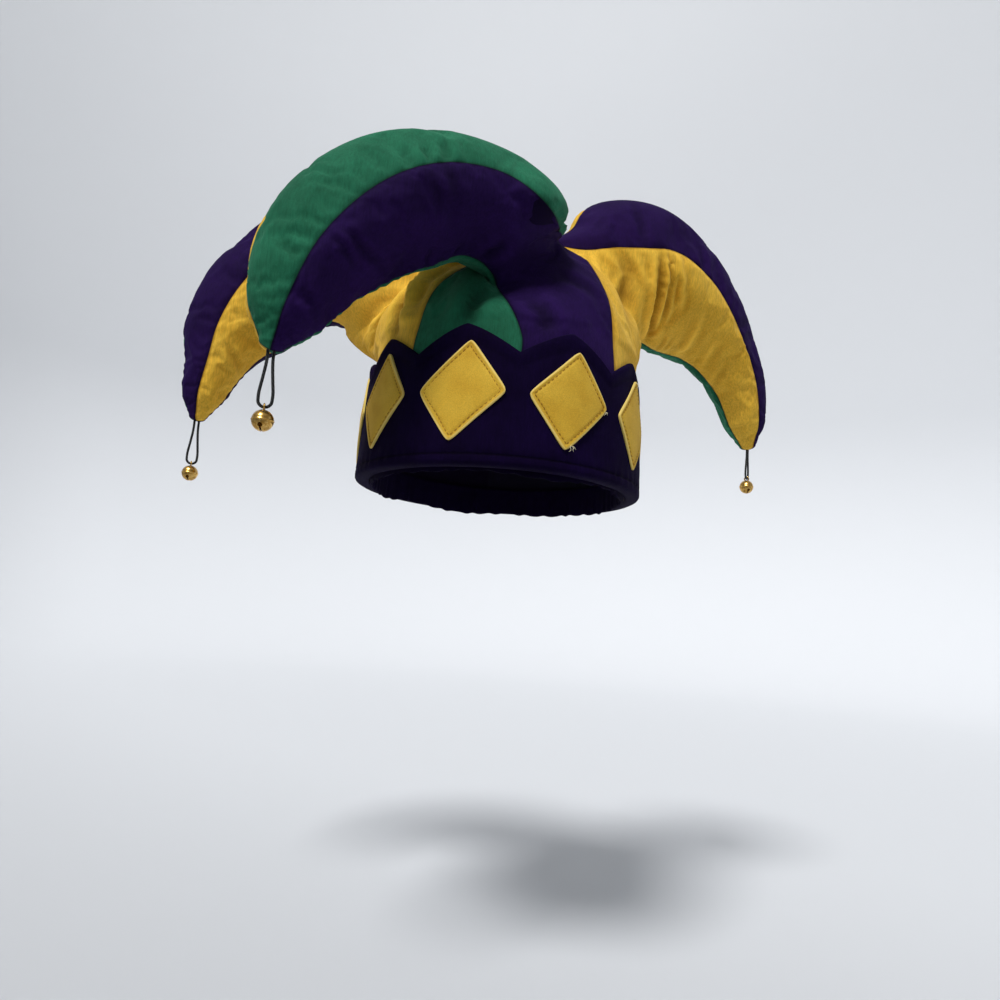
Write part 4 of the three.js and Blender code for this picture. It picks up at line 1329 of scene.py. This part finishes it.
def capsules(lines, radius, sides=6):
    """Points and faces of short threads, each along a line of points."""
    points, faces = [], []
    for line in lines:
        line = np.array(line)
        way = unit(np.gradient(line, axis=0))
        side = unit(np.cross(way, np.where(np.abs(way[:, 2:]) > 0.9, [[1.0, 0, 0]], [[0, 0, 1.0]])))
        up = np.cross(side, way)
        thick = radius * np.sqrt(np.clip(1 - np.linspace(-1, 1, len(line)) ** 6, 0.06, 1))
        first = len(points)
        for k in range(len(line)):
            for j in range(sides):
                a = 2 * math.pi * j / sides
                points.append(line[k] + thick[k] * (math.cos(a) * side[k] + math.sin(a) * up[k]))
        for k in range(len(line) - 1):
            for j in range(sides):
                a, b = first + k * sides + j, first + k * sides + (j + 1) % sides
                faces.append((a, b, b + sides, a + sides))
        last = first + (len(line) - 1) * sides
        faces.append(tuple(range(first + sides - 1, first - 1, -1)))
        faces.append(tuple(range(last, last + sides)))
    return np.array(points), faces


def stitch_piece(number):
    """The running stitch that holds a diamond, a little inside its edge."""
    azimuth = diamond_azimuth(number)
    inset = STITCH_INSET / DIAMOND_SIDE
    count = int((DIAMOND_SIDE - 2 * STITCH_INSET) / STITCH_STEP)
    starts = inset + (1 - 2 * inset) * (np.arange(count) + 0.5) / count
    half = STITCH_LENGTH / 2 / DIAMOND_SIDE
    lines = []
    for k, middle in enumerate(starts):
        along = middle + np.linspace(-half, half, 5)
        wobble = 0.006 * np.sin(7.0 * k + number + np.linspace(0, 1, 5))
        raised = DIAMOND_WALL - 0.42 + 0.3 * np.sin(np.linspace(0, math.pi, 5))
        for u, v in (
            (along, inset + wobble),
            (along, 1 - inset + wobble),
            (inset + wobble, along),
            (1 - inset + wobble, along),
        ):
            lines.append(diamond_at(azimuth, u, v, raised))
    points, faces = capsules(lines, STITCH_THICKNESS / 2)
    obj = mesh_object(f"diamond_{number}_stitches", points, faces, MATERIALS["thread"], 60)
    return finished(faced_outwards(obj), [])


def loose_threads():
    """The thread ends that hang at three corners of the front diamonds."""
    lines = []
    for number, corner, ends in LOOSE_THREADS:
        azimuth = diamond_azimuth(number)
        root = diamond_at(azimuth, np.array([corner[0]]), np.array([corner[1]]), DIAMOND_WALL - 0.2)[0]
        out = from_oval(np.array([float(azimuth)]))[0]
        across = np.array([-out[1], out[0], 0.0])
        for side, drop, curl in ends:
            t = np.linspace(0, 1, 14)[:, None]
            line = root + across * side * t + np.array([0, 0, -1.0]) * drop * t
            line = line + out * (1.1 * np.sin(math.pi * t) + 0.25)
            line = line + across * curl * np.sin(2 * math.pi * t)
            lines.append(line)
    points, faces = capsules(lines, LOOSE_THREAD / 2)
    obj = mesh_object("loose_thread_ends", points, faces, MATERIALS["pale_thread"], 60)
    finished(faced_outwards(obj), [])


for number in range(1, CUFF_POINTS + 1):
    diamond_piece(number)
    stitch_piece(number)
loose_threads()


def horn_tip(horn):
    frames = horn_frames(horn)
    along = unit(frames[-1][0] - frames[-2][0])
    return frames[-1][0] + along * CLEARANCE


def cord_line(horn):
    tip = horn_tip(horn)
    start = tip[2] + CORD_SEAT
    low = tip[2] - horn["cord_hang"]
    widening = (CORD_NECK + CORD_BEND) / 2
    down = [(0, CORD_NECK), (0.3, CORD_NECK), (0.6, widening), (0.85, CORD_BEND), (1, CORD_BEND)]
    strand = [(start + (low + CORD_BEND - start) * share, spread) for share, spread in down]
    for turn in (-60, -30):
        a = math.radians(turn)
        strand.append((low + CORD_BEND - CORD_BEND * math.cos(a), -CORD_BEND * math.sin(a)))
    line = [*strand, (low, 0.0), *[(z, -spread) for z, spread in reversed(strand)]]
    turn = math.radians(horn["cord_turn"])
    return np.array(
        [(tip[0] + spread * math.sin(turn), tip[1] + spread * math.cos(turn), z) for z, spread in line]
    )


def cord_piece(horn):
    points = cord_line(horn)
    dense = seam_line(points)(np.linspace(0, len(points) - 1, 140))
    curve = bpy.data.curves.new(f"{horn['name']}_cord_loop", "CURVE")
    curve.dimensions = "3D"
    curve.bevel_depth = CORD_DIAMETER / 2 * MM
    curve.bevel_resolution = 4
    curve.use_fill_caps = True
    spline = curve.splines.new("POLY")
    spline.points.add(len(dense) - 1)
    for place, p in zip(spline.points, dense):
        place.co = (*(p * MM), 1)
    curve.materials.append(MATERIALS["cord"])
    obj = linked(f"{horn['name']}_cord_loop", curve)
    return finished(obj, [f"{horn['name']}_cord"]), points[0]


def lathe(profile, turns=72):
    """Points and faces of a profile of (radius, height) turned about the upright axis."""
    points, faces = [], []
    m = len(profile)
    for i in range(turns):
        a = 2 * math.pi * i / turns
        points += [(r * math.cos(a), r * math.sin(a), z) for r, z in profile]
    for i in range(turns):
        for j in range(m - 1):
            a, b = i * m + j, ((i + 1) % turns) * m + j
            faces.append((a, b, b + 1, a + 1))
    return points, faces


def bell_piece(horn):
    tip = horn_tip(horn)
    eye_radius = (BELL_EYE_HOLE + BELL_EYE_WIRE) / 2
    eye_top = tip[2] - horn["cord_hang"] + CORD_DIAMETER / 2 + CLEARANCE
    eye_middle = eye_top + BELL_EYE_WIRE / 2 - eye_radius
    radius = BELL_DIAMETER / 2
    middle = np.array([tip[0], tip[1], eye_middle - eye_radius - radius + 0.5])
    turns = np.radians(np.linspace(-90, 90, 49))
    outer = []
    for t in turns:
        seam = BELL_SEAM * math.exp(-((math.sin(t) / 0.06) ** 2))
        outer.append((radius * math.cos(t) + seam, radius * math.sin(t)))
    within = radius - BELL_WALL
    inner = [(within * math.cos(t), within * math.sin(t)) for t in turns]
    points, faces = lathe(outer)
    within_points, within_faces = lathe(inner)
    count = len(points)
    points += within_points
    faces += [tuple(v + count for v in reversed(f)) for f in within_faces]
    points = np.array(points) + middle
    ball = mesh_object(f"{horn['name']}_bell_shell", points, faces, MATERIALS["brass"], 40)
    bm = bmesh.new()
    bm.from_mesh(ball.data)
    bmesh.ops.remove_doubles(bm, verts=bm.verts, dist=1e-6)
    bm.to_mesh(ball.data)
    bm.free()
    cutters = []
    bpy.ops.mesh.primitive_cube_add(size=1, location=(middle + [0, 0, -radius * 0.82]) * MM)
    box = bpy.context.object
    box.scale = (BELL_SLIT * MM, 1.62 * radius * MM, radius * MM)
    cutters.append(box)
    for end in (-1, 1):
        spot = middle + [0, end * 0.81 * radius, -radius * 0.55]
        bpy.ops.mesh.primitive_cylinder_add(
            vertices=32,
            radius=BELL_SLIT_END * MM,
            depth=2 * radius * MM,
            location=spot * MM,
            rotation=(math.radians(end * 55), 0, 0),
        )
        cutters.append(bpy.context.object)
    for cutter in cutters:
        cut = ball.modifiers.new("cut", "BOOLEAN")
        cut.operation = "DIFFERENCE"
        cut.solver = "EXACT"
        cut.object = cutter
    bpy.context.view_layer.update()
    shape = bpy.data.meshes.new_from_object(ball.evaluated_get(bpy.context.evaluated_depsgraph_get()))
    ball.modifiers.clear()
    ball.data = shape
    for cutter in cutters:
        bpy.data.objects.remove(cutter)
    bpy.ops.mesh.primitive_torus_add(
        major_segments=48,
        minor_segments=16,
        major_radius=eye_radius * MM,
        minor_radius=BELL_EYE_WIRE / 2 * MM,
        location=(tip[0] * MM, tip[1] * MM, eye_middle * MM),
        rotation=(math.pi / 2, 0, -math.radians(horn["cord_turn"])),
    )
    eye = bpy.context.object
    eye.name = f"{horn['name']}_bell_eye"
    eye.data.materials.append(MATERIALS["brass"])
    eye.data.polygons.foreach_set("use_smooth", [True] * len(eye.data.polygons))
    finished(eye, [])
    finished(ball, [f"{horn['name']}_bell"])
    return ball, eye


for horn in HORNS:
    loop, start = cord_piece(horn)
    bell, eye = bell_piece(horn)


# The floor lies well below the hat, reaches out and bends up into a wall.
FLOOR = -330
FLOOR_REACH = 2200
FLOOR_BEND = 1300


def stage_material():
    material, _, _, shader = new_material("pale_floor", 0.95, specular=0.1)
    shader.inputs["Base Color"].default_value = linear((208, 210, 213))
    return material


def stage_bowl():
    profile = [(0.001, FLOOR), (500, FLOOR), (1500, FLOOR), (FLOOR_REACH, FLOOR)]
    for t in np.radians(np.arange(6, 91, 6)):
        out = FLOOR_REACH + FLOOR_BEND * math.sin(t)
        profile.append((out, FLOOR + FLOOR_BEND * (1 - math.cos(t))))
    profile += [(3500, 2200), (3500, 3600)]
    points, faces = lathe(profile, 96)
    bowl = mesh_object("floor_sweep", points, faces, stage_material(), 180)


stage_bowl()

world = bpy.data.worlds.new("studio")
world.use_nodes = True
world.node_tree.nodes["Background"].inputs["Color"].default_value = (0.95, 0.97, 1.0, 1)
world.node_tree.nodes["Background"].inputs["Strength"].default_value = 0.42
bpy.context.scene.world = world


def sun(name, direction, strength, spread, colour=(1, 1, 1)):
    data = bpy.data.lights.new(name, "SUN")
    data.energy = strength
    data.angle = math.radians(spread)
    data.color = colour
    obj = linked(name, data)
    obj.rotation_mode = "QUATERNION"
    obj.rotation_quaternion = (-Vector(direction)).to_track_quat("-Z", "Y")


sun("key_light", (-0.45, -0.8, 1.2), 2.9, 16)
sun("right_light", (1.0, -0.8, 0.5), 0.9, 30)
sun("left_light", (-1.0, -0.9, 0.3), 0.4, 60)

CAMERA = dict(place=(-39.7, -528.9, -81.3), yaw=-4.63, pitch=8.22, roll=-4.28, lens=26.98)


def camera():
    yaw = Matrix.Rotation(math.radians(CAMERA["yaw"]), 3, "Z")
    pitch = Matrix.Rotation(math.radians(CAMERA["pitch"]), 3, "X")
    roll = Matrix.Rotation(math.radians(CAMERA["roll"]), 3, "Y")
    turn = yaw @ pitch @ roll
    right, ahead, up = turn.col[0], turn.col[1], turn.col[2]
    axes = Matrix((right, up, -ahead)).transposed().to_4x4()
    data = bpy.data.cameras.new("camera")
    data.sensor_width = 36
    data.lens = CAMERA["lens"]
    data.clip_start = 0.01
    data.clip_end = 50
    obj = linked("camera", data)
    obj.matrix_world = Matrix.Translation(Vector(CAMERA["place"]) * MM) @ axes
    bpy.context.scene.camera = obj


camera()
bpy.context.scene.view_settings.view_transform = "Standard"
